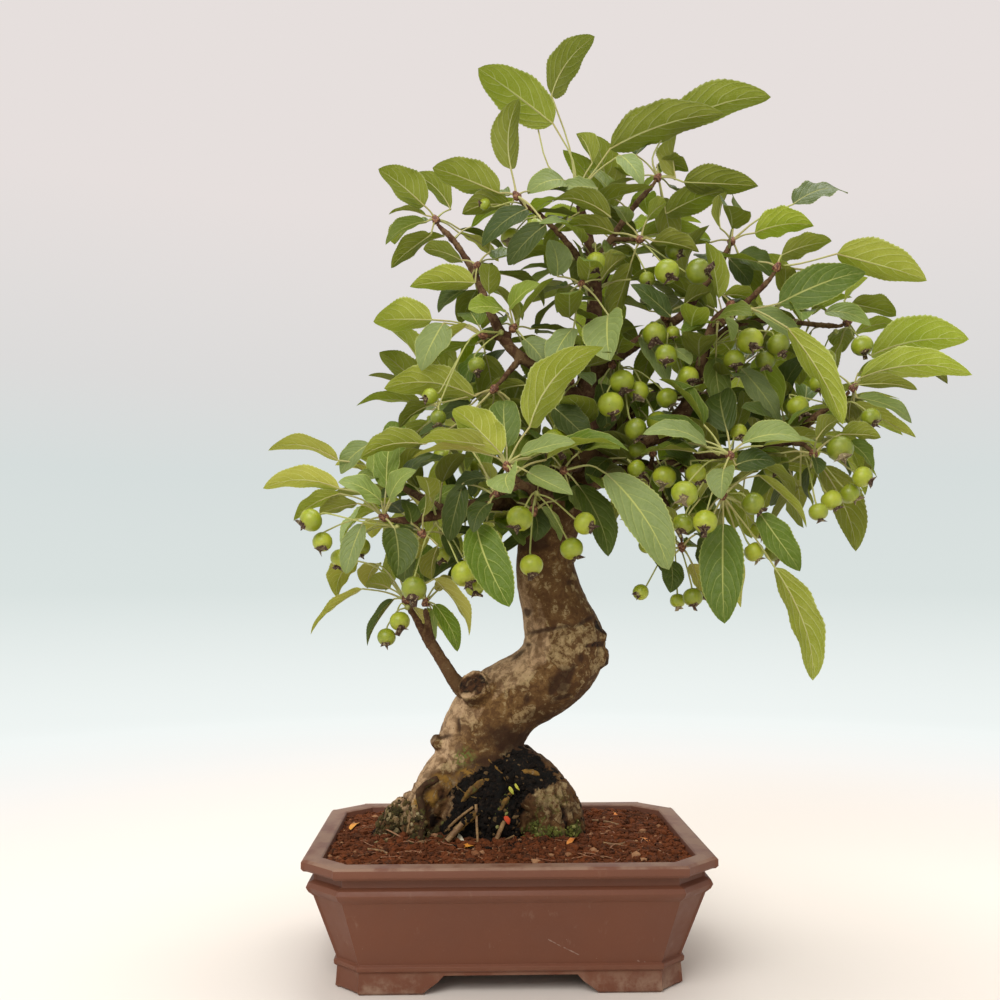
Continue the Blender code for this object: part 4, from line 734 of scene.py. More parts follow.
def veins_group():
    """Veins of a blade from its map: along 0 to 1, across 0 to 1."""
    nodes, given, out = effect_group("blade_veins", {}, ["Vein", "Midrib", "Margin", "Net", "Height"])
    along, across, _ = nodes.parts(given["Vector"])
    across = nodes.minus(nodes.times(across, 2.0), 1.0)
    wide = nodes.calc("ABSOLUTE", across)
    ripple = nodes.times(nodes.noise(given["Vector"], 4.0, 2.0), 0.07)
    lean = nodes.plus(nodes.times(wide, 0.14), nodes.times(nodes.times(wide, wide), 0.34))
    start = nodes.plus(nodes.minus(along, lean), ripple)
    stagger = nodes.times(nodes.calc("SIGN", across), 0.23)
    phase = nodes.calc("PINGPONG", nodes.plus(nodes.times(start, 5.8), stagger), 0.5)
    vein = nodes.times(nodes.ease(phase, 0.013, 0.042, 1.0, 0.0), nodes.ease(wide, 0.75, 1.0, 1.0, 0.25))
    rib = nodes.minus(wide, nodes.ease(along, 0.0, 1.0, 0.04, 0.006))
    midrib = nodes.ease(rib, 0.0, 0.03, 1.0, 0.0)
    cells = nodes.add("TexVoronoi", {"Vector": nodes.stretched(given["Vector"], (2.0, 1.0, 1.0)),
                                     "Scale": 26.0}, feature="DISTANCE_TO_EDGE")
    made = {"Vein": vein, "Midrib": midrib, "Margin": nodes.ease(wide, 0.93, 0.975),
            "Net": nodes.ease(cells.outputs["Distance"], 0.02, 0.12, 1.0, 0.0),
            "Height": nodes.minus(nodes.ease(phase, 0.0, 0.3), nodes.times(midrib, 1.2))}
    for label, value in made.items():
        nodes.feed(out[label], value)
    return nodes.tree


EFFECTS = {}


class Finish(Nodes):
    """A material in the making, with the colour laid on so far."""

    def __init__(self, name, rough=0.5, gloss=0.5):
        self.made = bpy.data.materials.new(name)
        self.made.use_nodes = True
        super().__init__(self.made.node_tree)
        shader = self.tree.nodes["Principled BSDF"]
        self.surface = shader.outputs[0]
        self.inputs = shader.inputs
        self.spot = self.add("TexCoord").outputs["Object"]
        self.colour = None
        self.feed(self.inputs["Roughness"], rough)
        self.feed(self.inputs["Specular IOR Level"], gloss)

    def effect(self, name, **inputs):
        """Place one of the shared effect groups."""
        makers = {"spots": spots_group, "blotches": blotches_group, "grain": grain_group,
                  "veins": veins_group}
        if name not in EFFECTS:
            EFFECTS[name] = makers[name]()
        made = self.tree.nodes.new("ShaderNodeGroup")
        made.node_tree = EFFECTS[name]
        for key, value in {"Vector": self.spot, **inputs}.items():
            self.feed(made.inputs[key], value)
        return made.outputs

    def spots(self, scale, share, size, strength, colour, spot=None):
        """Lay on strewn spots, and give their mask."""
        spot = self.spot if spot is None else spot
        mask = self.effect("spots", Vector=spot, Scale=scale, Share=share, Size=size)["Mask"]
        self.lay(self.times(mask, strength), colour)
        return mask

    def lay(self, share, colour):
        self.colour = self.mix(share, self.colour, colour)

    def flecks(self, scale, detail=3.0, rough=0.5, distortion=0.0):
        return self.noise(self.spot, scale, detail, rough, distortion)

    def attribute(self, name):
        """Red, green, blue and alpha sockets of a mesh attribute."""
        source = self.add("Attribute", attribute_name=name).outputs
        return (*self.add("SeparateColor", {0: source["Color"]}).outputs[:3], source["Alpha"])

    def shaded(self, colour, shade):
        return self.add("HueSaturation", {"Color": colour, "Value": shade}).outputs[0]

    def show(self, surface):
        self.tree.links.new(surface, self.tree.nodes["Material Output"].inputs["Surface"])

    def done(self, height=None, strength=0.5, distance=0.0006):
        """Link the colour and the relief, and give the finished material."""
        self.feed(self.inputs["Base Color"], self.colour)
        if height is not None:
            relief = self.add("Bump", {"Height": height, "Strength": strength, "Distance": distance})
            self.feed(self.inputs["Normal"], relief.outputs["Normal"])
        return self.made


# Materials

# Finish of each side of a blade: name, share of light through, spots (scale, share, size, lowest chance,
# colour), shade in the dark and in the light, and how plain the vein, midrib, net and margin are
BLADE_SIDES = {
    True: ("leaf_upper_side", 0.3, (260.0, 0.05, 0.16, 0.55, (92, 58, 26)), (0.35, 1.35),
           (0.5, 0.82, 0.1, 0.5)),
    False: ("leaf_underside", 0.42, (240.0, 0.07, 0.2, 0.45, (120, 70, 26)), (0.5, 1.3),
            (0.8, 1.0, 0.22, 0.6)),
}


def blade_material(look, upper):
    """Waxy upper side or downy underside of a leaf, with its veins and spots."""
    name, passing, (scale, share, size, lowest, scar), shades, plainness = BLADE_SIDES[upper]
    made = Finish(name, 0.72, 0.3)
    uv = made.add("UVMap", uv_map="blade").outputs["UV"]
    veins = made.effect("veins", Vector=uv)
    light, yellow, bloom, chance = made.attribute("tone")
    patches = made.effect("blotches", Scale=70.0 if upper else 90.0)["Mask"]
    if upper:
        felt = made.ease(made.flecks(460.0, 4.0, 0.7), 0.38, 0.62, -0.12, 0.12)
        mottled = made.plus(felt, made.times(patches, 0.18))
        made.colour = made.mix(made.times(made.plus(bloom, mottled), 0.85), look.top, look.top_pale)
        made.lay(made.times(yellow, 0.8), look.under)
        made.feed(made.inputs["Roughness"], made.ease(patches, 0.0, 1.0, 0.48, 0.66))
    else:
        made.colour = made.mix(made.times(patches, 0.45), look.under, look.under_pale)
        made.lay(made.ease(yellow, 0.3, 1.0, 0.1, 0.75), (190, 168, 86))
    lines = 0.0
    for label, plain in zip(("Vein", "Midrib", "Net", "Margin"), plainness):
        lines = made.most(lines, made.times(veins[label], plain))
    made.lay(lines, look.vein if upper else (226, 226, 158))
    # Painted light and shade: each leaf's colours and the light through it are made brighter or darker by its
    # light value
    shade = made.ease(light, 0.0, 1.0, *shades)
    made.colour = made.shaded(made.colour, shade)
    made.spots(scale, share, size, made.ease(chance, lowest, 0.9), scar)
    glow = made.add("BsdfTranslucent", {"Color": made.shaded(look.glow, shade)}).outputs[0]
    made.show(made.add("MixShader", {0: passing, 1: made.surface, 2: glow}).outputs[0])
    relief = made.ease(yellow, 0.5, 0.85, 1.0, 0.12) if upper else made.ease(yellow, 0.5, 0.85, -1.0, -0.12)
    return made.done(made.times(veins["Height"], relief), 0.42 if upper else 0.4)


def stalk_material(name, colour, blush, share):
    made = Finish(name, 0.55)
    patches = made.effect("blotches", Scale=60.0)["Mask"]
    fine = made.flecks(900.0)
    made.colour = made.mix(made.times(patches, share), colour, blush)
    made.lay(made.times(fine, 0.3), (196, 196, 140))
    return made.done(fine, 0.25, 0.0002)


def bud_material(look):
    made = Finish("bud_scales", 0.6)
    rings = made.add("TexVoronoi", {"Vector": made.spot, "Scale": 900.0}).outputs["Distance"]
    made.colour = made.mix(rings, (96, 46, 30), look.young)
    made.lay(made.ease(rings, 0.45, 0.7), (150, 104, 70))
    return made.done(rings, 0.6)


def fruit_skin_material(look):
    """Green skin with a yellower side, pale dots and brown spots."""
    made = Finish("fruit_skin")
    end, chance, _, _ = made.attribute("tone")
    patches = made.effect("blotches", Scale=75.0)["Mask"]
    sun = made.plus(made.times(patches, 0.5), made.times(chance, 0.5))
    made.colour = made.mix(sun, look.skin, look.skin_sun)
    made.lay(made.times(made.ease(end, 0.72, 0.98), 0.45), (188, 184, 96))
    made.colour = made.shaded(made.colour, made.ease(chance, 0.0, 0.45, 0.72, 1.0))
    made.spots(700.0, 0.3, 0.2, 0.4, (206, 208, 130))
    made.spots(160.0, 0.05, 0.16, 0.7, (116, 84, 40))
    for label, value in (("Roughness", made.ease(patches, 0.0, 1.0, 0.36, 0.48)), ("Coat Weight", 0.06),
                         ("Coat Roughness", 0.3), ("Subsurface Weight", 0.25), ("Subsurface Scale", 0.002),
                         ("Subsurface Radius", (0.6, 1.0, 0.2))):
        made.feed(made.inputs[label], value)
    return made.done(made.flecks(420.0), 0.16)


def calyx_material(look):
    made = Finish("dried_calyx", 0.9)
    chance = made.attribute("tone")[1]
    fine = made.flecks(700.0, 4.0, 0.65)
    down = made.times(made.ease(fine, 0.5, 0.68), 0.6)
    pale = made.plus(down, made.times(made.ease(chance, 0.82, 0.95), 0.3))
    made.colour = made.mix(pale, look.calyx, look.calyx_pale)
    return made.done(fine, 0.6)


def bark_material(look):
    """Plated bark, with the stains, the painted light, the painted shade and the bark marks that the wood's
    meshes carry.
    """
    made = Finish("bark_of_trunk", 0.86, 0.2)
    peat, moss, ochre, lit_and_bleached = made.attribute("stain")
    dark, young, hollow, raised = made.attribute("shade_and_bark")
    broad = made.effect("blotches", Scale=30.0)["Mask"]
    fine = made.flecks(520.0, 5.0, 0.7)
    flecks = made.flecks(210.0, 6.0, 0.72, 0.4)
    made.colour = made.mix(made.times(broad, 0.75), look.bark, look.bark_dark)
    lifted = made.plus(raised, made.times(fine, 0.07))
    plate = made.ease(lifted, 0.635, 0.65)
    edge = made.ease(lifted, 0.585, 0.64, 0.0, 0.85)
    made.lay(made.times(edge, made.minus(1.0, plate)), look.bark_dark)
    made.lay(made.times(plate, made.ease(flecks, 0.4, 0.6, 0.62, 0.12)), look.bark_pale)
    made.lay(made.ease(flecks, 0.51, 0.56, 0.0, 0.75), look.bark_dark)
    made.lay(made.ease(flecks, 0.38, 0.45, 0.6, 0.0), look.bark_pale)
    made.lay(made.ease(fine, 0.55, 0.62, 0.0, 0.45), (66, 44, 24))
    # Painted light on faces turned up and to the left, with the pale rims of the big hollow
    made.lay(made.times(lit_and_bleached, made.ease(flecks, 0.42, 0.6, 0.9, 0.35)), look.lit_and_bleached)
    flat = made.stretched(made.spot, (1.0, 1.0, 2.4))
    marks = made.spots(210.0, 0.34, 0.25, 0.7, (54, 36, 20), flat)
    made.spots(420.0, 0.3, 0.2, 0.4, (176, 156, 112))
    twig = made.mix(made.ease(flecks, 0.42, 0.58, 0.0, 0.8), look.young, (122, 96, 64))
    made.lay(young, made.mix(made.times(marks, 0.6), twig, (168, 146, 110)))
    # Painted shade: the dark channel laid on as dark brown
    made.lay(made.times(dark, 0.85), (50, 30, 17))
    made.lay(made.times(ochre, made.ease(flecks, 0.4, 0.52)), look.ochre)
    made.lay(made.times(moss, made.ease(made.flecks(600.0, 4.0), 0.42, 0.6)), look.moss)
    # Painted shade: the hollows made near black, with brown flecks
    made.lay(hollow, made.mix(made.ease(flecks, 0.44, 0.6), (28, 17, 10), (70, 44, 24)))
    made.lay(peat, made.mix(made.ease(fine, 0.52, 0.7, 0.0, 0.5), look.peat, (70, 50, 32)))
    height = made.plus(made.effect("grain", Scale=620.0)["Height"], made.times(plate, 0.45))
    return made.done(made.minus(height, made.times(marks, 0.5)), 0.6, 0.001)


def dirt_material(name, earth, dark_earth, grit, tint):
    """Crumbly matter of one colour with dark and pale crumbs in it."""
    made = Finish(name, 0.95, 0.2)
    dark, pale, _, _ = made.attribute("tone")
    patches = made.effect("blotches", Scale=55.0)["Mask"]
    made.colour = made.mix(made.times(patches, 0.5), earth, dark_earth)
    made.lay(dark, dark_earth)
    made.lay(pale, grit)
    made.lay(made.ease(made.flecks(900.0, 5.0, 0.7), 0.4, 0.7, 0.0, 0.4), tint)
    return made.done(made.effect("grain", Scale=900.0)["Height"], 0.8, 0.0009)


def dry_leaf_material(name, first, second):
    made = Finish(name, 0.7)
    patches = made.effect("blotches", Scale=220.0)["Mask"]
    fine = made.flecks(900.0, 4.0)
    made.colour = made.mix(patches, first, second)
    made.lay(made.ease(fine, 0.5, 0.7, 0.0, 0.4), (120, 66, 26))
    return made.done(fine, 0.4, 0.0005)


def line_mask(made, first, second, width):
    """A thin ragged line between two places."""
    away = made.vector("SUBTRACT", {0: made.spot, 1: first})
    whole = second - first
    along = made.vector("DOT_PRODUCT", {0: away, 1: whole}, "Value")
    share = made.calc("MULTIPLY", along, 1 / whole.length_squared, use_clamp=True)
    back = made.vector("SCALE", {0: whole, "Scale": share})
    far = made.vector("LENGTH", {0: made.vector("SUBTRACT", {0: away, 1: back})}, "Value")
    ragged = made.times(made.flecks(500.0, 4.0, 0.7), 3.2 * width)
    return made.ease(made.plus(far, ragged), 1.6 * width, 2.2 * width, 1.0, 0.0)


# Scratches and chips on the pot's front: front x and z of both ends, and the half width, in millimetres
SCRATCHES = [((24.3, 8.0), (31.5, 4.2), 0.5), ((33.0, 3.6), (42.2, -0.8), 0.6),
             ((76.3, -4.0), (76.8, -4.4), 0.8), ((80.2, -4.6), (80.8, -4.8), 0.7)]


def clay_material(look):
    """Matte clay with dust on the rim and the feet, streaks and scratches."""
    made = Finish("unglazed_clay", 0.5, 0.3)
    surface = solid_surface("pot")
    along, _, level = made.parts(made.spot)
    upward = made.parts(made.add("NewGeometry").outputs["Normal"])[2]
    broad = made.effect("blotches", Scale=16.0)["Mask"]
    cloudy = made.flecks(60.0, 5.0, 0.65)
    made.colour = made.mix(made.times(broad, 0.35), look.clay, (96, 60, 46))
    made.lay(made.ease(made.flecks(1300.0, 4.0, 0.7), 0.56, 0.76, 0.0, 0.2), (136, 98, 82))
    facing = made.ease(made.ease(upward, 0.3, 0.8), 0.0, 1.0, 0.03, 0.85)
    dusty = made.times(made.ease(cloudy, 0.32, 0.6), facing)
    dusty = made.times(dusty, made.ease(level, 0.0615, 0.0665))
    made.lay(made.times(dusty, made.ease(along, 0.07, 0.098, 0.5, 1.12)), look.dust)
    foot = made.times(made.ease(level, 0.002, 0.016, 1.0, 0.0), made.ease(cloudy, 0.4, 0.6))
    made.lay(made.times(foot, 0.5), look.dust)
    streaks = made.noise(made.stretched(made.spot, (1.0, 1.0, 0.25)), 130.0, 5.0, 0.7)
    made.lay(made.ease(streaks, 0.6, 0.78, 0.0, 0.22), look.dust)
    for first, second, half in SCRATCHES:
        ends = (behind(surface, *first)[0], behind(surface, *second)[0])
        made.lay(made.times(line_mask(made, *ends, half * MM), 0.6), look.chip)
    made.spots(500.0, 0.06, 0.2, 0.45, look.dust)
    made.feed(made.inputs["Roughness"], made.ease(cloudy, 0.3, 0.7, 0.46, 0.62))
    return made.done(made.effect("grain", Scale=1100.0)["Height"], 0.16, 0.0004)


def stage_material(look):
    """Pale seamless backdrop whose colour changes outwards and upwards; away from the middle it glows in
    those colours, a painted light like the walls of a light tent.
    """
    made = Finish("seamless_backdrop", 1.0, 0.0)
    x, y, z = made.parts(made.spot)
    away = made.vector("LENGTH", {0: made.add("CombineXYZ", {0: x, 1: y}).outputs[0]}, "Value")
    ramp = made.add("ValToRGB", {0: made.plus(made.ease(away, 0.35, 1.25, 0.0, 0.3), made.times(z, 0.6))})
    stops = ramp.color_ramp.elements
    bands = [(0.0, look.floor), (0.12, linear(250, 249, 246)), (0.28, linear(243, 248, 246)),
             (0.42, linear(218, 226, 224)), (0.58, look.haze), (0.72, linear(220, 219, 218)), (1.0, look.sky)]
    while len(stops) < len(bands):
        stops.new(0.5)
    for stop, (where, colour) in zip(stops, bands):
        stop.position = where
        stop.color = colour
    made.colour = made.mix(1.0, ramp.outputs[0], (0.76, 0.73, 0.7, 1.0), "MULTIPLY")
    # Painted light: the backdrop glows in its own colours, more so away from the middle
    glow = made.add("Emission", {"Color": ramp.outputs[0], "Strength": 1.0}).outputs[0]
    made.show(made.add("MixShader", {0: made.ease(away, 0.2, 1.0), 1: made.surface, 2: glow}).outputs[0])
    return made.done()


# Where the solids stand

def nearest_stretch(goal, steps, upward=0.0):
    """The point on the branches nearest to a goal, with its radius, and the two rows it lies between."""
    trials = []
    for rows in LIMBS:
        for first, second in zip(rows, rows[1:]):
            for step in range(steps + 1):
                spot = [a + (b - a) * (step / steps) for a, b in zip(first, second)]
                distance = math.dist(spot[:3], goal) + upward * max(0.0, spot[1] - goal[1])
                trials.append((distance, spot, first, second))
    return min(trials, key=lambda trial: trial[0])[1:]


def twig_rows(bud):
    """A short twig from the nearest lower branch to a bud, in the front view's own numbers."""
    (x, z, y, radius), _, _ = nearest_stretch(bud, 5, 0.6)
    return [(x, z, y, min(radius * 0.8, 3.2)), (*bud, TWIG_TIP)]


def bud_root(bud):
    """Foot and direction of the bud, and the place that its stalks rise from."""
    tip = place(*bud)
    direction = (tip - place(*twig_rows(bud)[0][:3])).normalized()
    start = tip + direction * GAP * MM
    return start, direction, start + direction * 2.6 * MM


def seen_leaf(row, bud, root, shift):
    """Root, bend, base, tip, normal and width of a leaf given in the front view, shifted in depth."""
    bx, bz, tx, tz, seen_width, face, dive = row[:7]
    dive *= DEPTH_SPREAD
    tip_depth = bud[2] + dive + shift
    base = place(bx, bz, bud[2] + 0.35 * dive + shift)
    tip = place(tx, tz, tip_depth)
    via = place(*row[7:9], bud[2] + 0.15 * dive + 0.5 * shift) if len(row) > 7 else None
    along = (tip - base).normalized()
    front = view_axis((base + tip) / 2)
    front = (front - along * front.dot(along)).normalized()
    side = along.cross(front)
    if side.z < 0.0:
        side = -side
    angle = math.radians(face)
    normal = front * math.cos(angle) + side * math.sin(angle)
    width = seen_width * reach_at(tip_depth) * MM / max(abs(math.cos(angle)), 0.5)
    return root, via, base, tip, normal, min(width, 0.62 * (tip - base).length + 0.004)


def ruled_leaf(root, heading, far, rise, length, tilt, draw):
    """The same numbers as seen_leaf gives, for a leaf that is set by rule."""
    base = root + heading * far * MM + Vector((0.0, 0.0, rise * MM))
    return root, None, base, base + heading * length, tilt.normalized(), length * (0.47 + 0.05 * draw)


def back_leaf(bud, root, share, turn, draws):
    """A far leaf that leans out from the canopy and droops."""
    outward = (place(*bud) - place(*CANOPY_CENTRE)).normalized()
    outward.z += 0.15
    outward.normalize()
    sideways = outward.cross(Vector((0.0, 0.0, 1.0))).normalized()
    upward = sideways.cross(outward)
    turn += 0.3 * draws[0]
    spread = 0.45 + share
    heading = outward * math.cos(spread)
    heading += (sideways * math.cos(turn) + upward * math.sin(turn)) * math.sin(spread)
    heading.z -= 0.12
    heading.normalize()
    length = (45.0 + 9.0 * draws[1]) * MM
    tilt = Vector((0.35 * draws[3], 0.35 * draws[4], 1.0)) + outward * 0.5
    return ruled_leaf(root, heading, 16.5 + 3.5 * draws[2], 3.0, length, tilt, draws[5])


def inner_leaf(bud, root, turn, draws):
    """A leaf that fills the canopy behind a seen spray."""
    inward = place(*CANOPY_CENTRE) - place(*bud)
    inward.y = 0.0
    turn += 0.4 * draws[0]
    heading = inward.normalized() * 0.55 + Vector((0.0, 0.75, 0.0))
    heading += Vector((math.cos(turn), 0.3 * draws[1], math.sin(turn))) * 0.8
    heading.normalize()
    length = (37.0 + 6.0 * draws[2]) * MM
    tilt = Vector((0.5 * draws[4], -0.3, 1.0))
    return ruled_leaf(root, heading, 15.0 + 4.0 * draws[3], 2.0, length, tilt, draws[5])


class Solid:
    """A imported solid, for finding which of a few trial places it really has."""

    def __init__(self, name):
        points = [v.co.copy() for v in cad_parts[name].data.vertices]
        self.tree = KDTree(len(points))
        for index, point in enumerate(points):
            self.tree.insert(point, index)
        self.tree.balance()

    def miss(self, *places):
        """Mean distance from the places to the solid's nearest corners."""
        return sum(self.tree.find(spot)[2] for spot in places) / len(places)


def solid_surface(*names):
    """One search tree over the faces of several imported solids."""
    points = []
    faces = []
    for name in names:
        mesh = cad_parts[name].data
        start = len(points)
        points += [v.co.copy() for v in mesh.vertices]
        faces += [tuple(i + start for i in face.vertices) for face in mesh.polygons]
    return BVHTree.FromPolygons(points, faces)


def knob_spots(hint):
    """Places round a branch, near the hinted one, where a bunch can hang from."""
    (x, z, y, radius), first, second = nearest_stretch(hint, 10)
    middle = place(x, z, y)
    along = (place(*second[:3]) - place(*first[:3])).normalized()
    low = Vector((0.0, -0.35, -1.0))
    low = (low - along * low.dot(along)).normalized()
    across = along.cross(low)
    reach = (radius * reach_at(y) + KNOB + GAP + 0.2) * MM
    spots = []
    for back in (0.0, -3.0, 3.0, -6.0, 6.0, -10.0):
        for degrees in (0, 40, -40, 80, -80, 125, -125, 180):
            turn = math.radians(degrees)
            outward = low * math.cos(turn) + across * math.sin(turn)
            spots.append(middle + along * back * MM + outward * reach)
    return spots


def fruit_frame(fruit, shift):
    """Centre, radius and downward direction of a fruit."""
    x, z, radius, depth, swing = fruit
    swing = math.radians(swing)
    down = Vector((math.sin(swing), -0.25, -math.cos(swing))).normalized()
    down = Matrix.Rotation(-POT_TURN, 3, "Z") @ down
    return place(x, z, depth + shift), radius * reach_at(depth + shift) * MM, down


def free_bunch(hint, fruits):
    """The same numbers as found_bunch gives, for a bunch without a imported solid."""
    knob = place(*hint)
    found = []
    for fruit in fruits:
        centre, size, down = fruit_frame(fruit, 0)
        bend = centre - down * (size * 0.7 + STALK_BEND * MM)
        found.append((centre, size, down, (knob + bend) / 2 + Vector((0.0, -1.5 * MM, 1.5 * MM))))
    return knob, found


def found_bunch(name, hint, fruits, wood):
    """The knob of a bunch, and for each fruit its centre, radius, direction and the bend of its stalk."""
    solid = Solid(f"fruit_{name}")
    up = Vector((0.0, 0.0, KNOB * MM))
    knobs = []
    for spot in knob_spots(hint):
        nearest = wood.find_nearest(spot)[0]
        knobs.append(nearest + (spot - nearest).normalized() * (KNOB + GAP) * MM)
    knob = min(knobs, key=lambda trial: solid.miss(trial + up, trial - up))
    found = []
    for fruit in fruits:
        trials = [fruit_frame(fruit, shift) for shift in SHIFTS]
        centre, size, down = min(trials, key=lambda trial: solid.miss(trial[0] + trial[2] * trial[1] * 0.95))
        top = centre - down * size * 0.7
        bend = top - down * STALK_BEND * MM
        bends = [(knob + bend) / 2 + Vector((0.0, -forward, rise)) * (knob - bend).length
                 for rise, forward in ARCHES]
        found.append((centre, size, down, min(bends, key=solid.miss)))
    return knob, found


# Leaves

# Light, yellow, bloom and chance of spots for each kind of look in the sprays above; light is painted light
# and shade that brightens or darkens each whole leaf
LOOKS = {
    "b": (0.73, 0.5, 0.1, 0.3), "c": (0.42, 0.2, 0.1, 0.3), "o": (0.45, 0.45, 0.05, 0.4),
    "d": (0.24, 0.05, 0.1, 0.2), "g": (0.62, 0.05, 0.85, 0.2), "p": (0.72, 0.2, 0.6, 0.3),
    "m": (0.6, 0.12, 0.05, 0.2), "s": (0.35, 0.4, 0.1, 0.4), "t": (0.68, 0.95, 0.0, 0.9),
    "y": (0.8, 0.9, 0.0, 0.5),
}

# Bud scales: how far each ring lies from the bud's foot, and its radius, in millimetres
BUD = ((0.0, 2.0), (1.3, 2.7), (2.4, 2.5), (3.4, 2.1), (4.6, 1.6), (5.6, 0.9))

# Raised midrib: place along the blade, and its share of the stalk's radius
MIDRIB = ((0.0, 0.9), (0.12, 0.68), (0.28, 0.52), (0.46, 0.4), (0.64, 0.3), (0.8, 0.2), (0.92, 0.1))


def blade_half(along, foot=0.55, end=0.74):
    """Half width of a blade along its length, one at its widest place."""
    widest = foot / (foot + end)
    along = np.clip(along, 0, 1)
    return (along / widest) ** foot * ((1 - along) / (1 - widest)) ** end


def leaf_blank(name, lengthwise, across, tooth, top, under):
    """A flat closed blade to copy: u along it, v across it and its side are kept on every vertex."""
    blank = primitive(bpy.ops.mesh.primitive_grid_add, x_subdivisions=lengthwise, y_subdivisions=across,
                      size=2.0)
    cuts = 3 if tooth else 1
    with editing():
        bpy.context.tool_settings.mesh_select_mode = (False, True, False)
        select_edges(blank, lambda edge: all(abs(v.co.y) > 0.999 > abs(v.co.x) for v in edge.verts))
        bpy.ops.mesh.subdivide(number_cuts=cuts, ngon=False)
        bpy.ops.mesh.select_all(action="SELECT")
        bpy.ops.mesh.quads_convert_to_tris(quad_method="BEAUTY", ngon_method="BEAUTY")
    bpy.context.tool_settings.mesh_select_mode = (True, False, False)
    flat = coordinates(blank.data)
    u = (flat[:, 0] + 1) / 2
    v = flat[:, 1].copy()
    steps = lengthwise * (cuts + 1)
    index = np.round(u * steps).astype(int)
    on_edge = (np.abs(v) > 0.999) & (index > 0) & (index < steps)
    tip = on_edge & (index % 2 == 1)
    v = np.where(tip, v * (1 + tooth), v)
    u = np.where(tip, u + 0.45 / steps, u)
    u += 0.7 * (0.5 - 0.5 * np.cos(math.pi * u) - u)
    width = blade_half(u)
    loops = numbers_of(blank.data.loops, "vertex_index", kind=np.int32)
    chart = np.stack([u[loops], np.clip(v[loops], -1, 1) / 2 + 0.5], axis=1)
    blank.data.uv_layers[0].name = "blade"
    blank.data.uv_layers[0].data.foreach_set("uv", chart.astype(np.float32).ravel())
    swell = 0.02 * width * (1 - np.clip(np.abs(v), 0, 1) ** 2)
    lower = blank.copy()
    lower.data = blank.data.copy()
    bpy.context.scene.collection.objects.link(lower)
    lower.data.flip_normals()
    for index, (made, side) in enumerate(((blank, 1.0), (lower, -1.0))):
        set_coordinates(made.data, np.stack([u, v * width, side * swell], axis=1))
        paint(made.data, "blank", u, v, side, 1.0)
        made.data.materials.append(top)
        made.data.materials.append(under)
        made.data.polygons.foreach_set("material_index", [index] * len(made.data.polygons))
    blank = joined(name, [blank, lower])
    with editing():
        bpy.ops.mesh.remove_doubles(threshold=WELD)
        bpy.ops.mesh.dissolve_degenerate(threshold=WELD)
    return blank


def blank_numbers(blank):
    """Along, across and side of every vertex of a blank."""
    return numbers_of(blank.data.attributes["blank"].data, "color", 4).astype(float).T[:3]


def leaf_form(rng, lively=1.0):
    """The bends that make each leaf its own shape."""
    return {
        "fold": math.radians(rng.uniform(6, 30)) * lively,
        "cup": rng.uniform(-0.12, 0.2) * lively,
        "bow": rng.uniform(0.03, 0.12),
        "sweep": rng.uniform(-0.07, 0.07),
        "twist": rng.uniform(-0.35, 0.35) * lively,
        "ripple": rng.uniform(0.04, 0.11) * lively,
        "waves": rng.uniform(1.6, 3.2),
        "phase": rng.uniform(0, 6.28),
        "curl": rng.uniform(0.0, 0.1),
        "point": rng.uniform(0.62, 0.86),
    }


def shaped_leaf(numbers, base, tip, normal, width, form, thickness):
    """Places of a blank's vertices when it is bent into one leaf."""
    u, v, face = numbers
    along = tip - base
    length = along.length
    along = np.array(along.normalized())
    up = np.array(normal)
    up = up - along * up.dot(along)
    up /= np.linalg.norm(up)
    side = np.cross(up, along)
    half = width / 2
    breadth = half * blade_half(u, 0.55, form["point"])
    out = v * breadth
    wide = np.abs(v)
    fold = form["fold"] * (1 - 0.4 * u)
    across = out * np.cos(fold)
    rise = np.abs(out) * np.sin(fold) + form["cup"] * breadth * wide ** 2
    sway = np.sin(form["waves"] * math.tau * u + form["phase"] + np.where(v > 0, 0.0, 1.9))
    rise += form["ripple"] * breadth * wide ** 2 * sway
    rise += face * thickness / 2 * (1 - wide ** 2) * np.clip(breadth / half * 1.6, 0, 1)
    turn = form["twist"] * (u - 0.35)
    turned = across * np.cos(turn) - rise * np.sin(turn)
    rise = across * np.sin(turn) + rise * np.cos(turn)
    rise += form["bow"] * length * 4 * u * (1 - u)
    rise -= form["curl"] * length * np.clip((u - 0.62) / 0.38, 0, 1) ** 2
    turned += form["sweep"] * length * 4 * u * (1 - u)
    return (np.array(base) + np.outer(u * length, along) + np.outer(turned, side) + np.outer(rise, up))


def midrib_run(base, tip, normal, form, thickness, stalk):
    """The raised midrib under a blade, carried on from its stalk."""
    u = np.array([along for along, _ in MIDRIB])
    numbers = (u, np.zeros_like(u), -np.ones_like(u))
    places = shaped_leaf(numbers, base, tip, normal, 0.012, {**form, "fold": 0.0, "cup": 0.0}, thickness)
    return [(Vector(spot), stalk * share) for spot, (_, share) in zip(places, MIDRIB)]


def stalk_run(root, via, base, radius):
    """A leaf stalk from its bud, thick at its foot."""
    if via is None:
        via = root.lerp(base, 0.5) + Vector((0.0, 0.0, 0.08 * (base - root).length))
    return free_run([root, via, base], [radius * 1.5, radius * 0.95, radius], 3)


def found_by_rule(name, count, pose_at, solid, kinds):
    """Leaves of a packed spray that are set round its bud by rule."""
    rng = random.Random(name)
    leaves = []
    for index in range(count):
        draws = [rng.uniform(-1.0, 1.0) for _ in range(6)]
        poses = [pose_at(index, index * GOLDEN_TURN + turn, draws) for turn in TURNS]
        misses = [solid.miss(pose[3]) for pose in poses]
        if min(misses) < 0.0002:
            leaves.append((poses[misses.index(min(misses))], kinds[index % len(kinds)]))
    return leaves


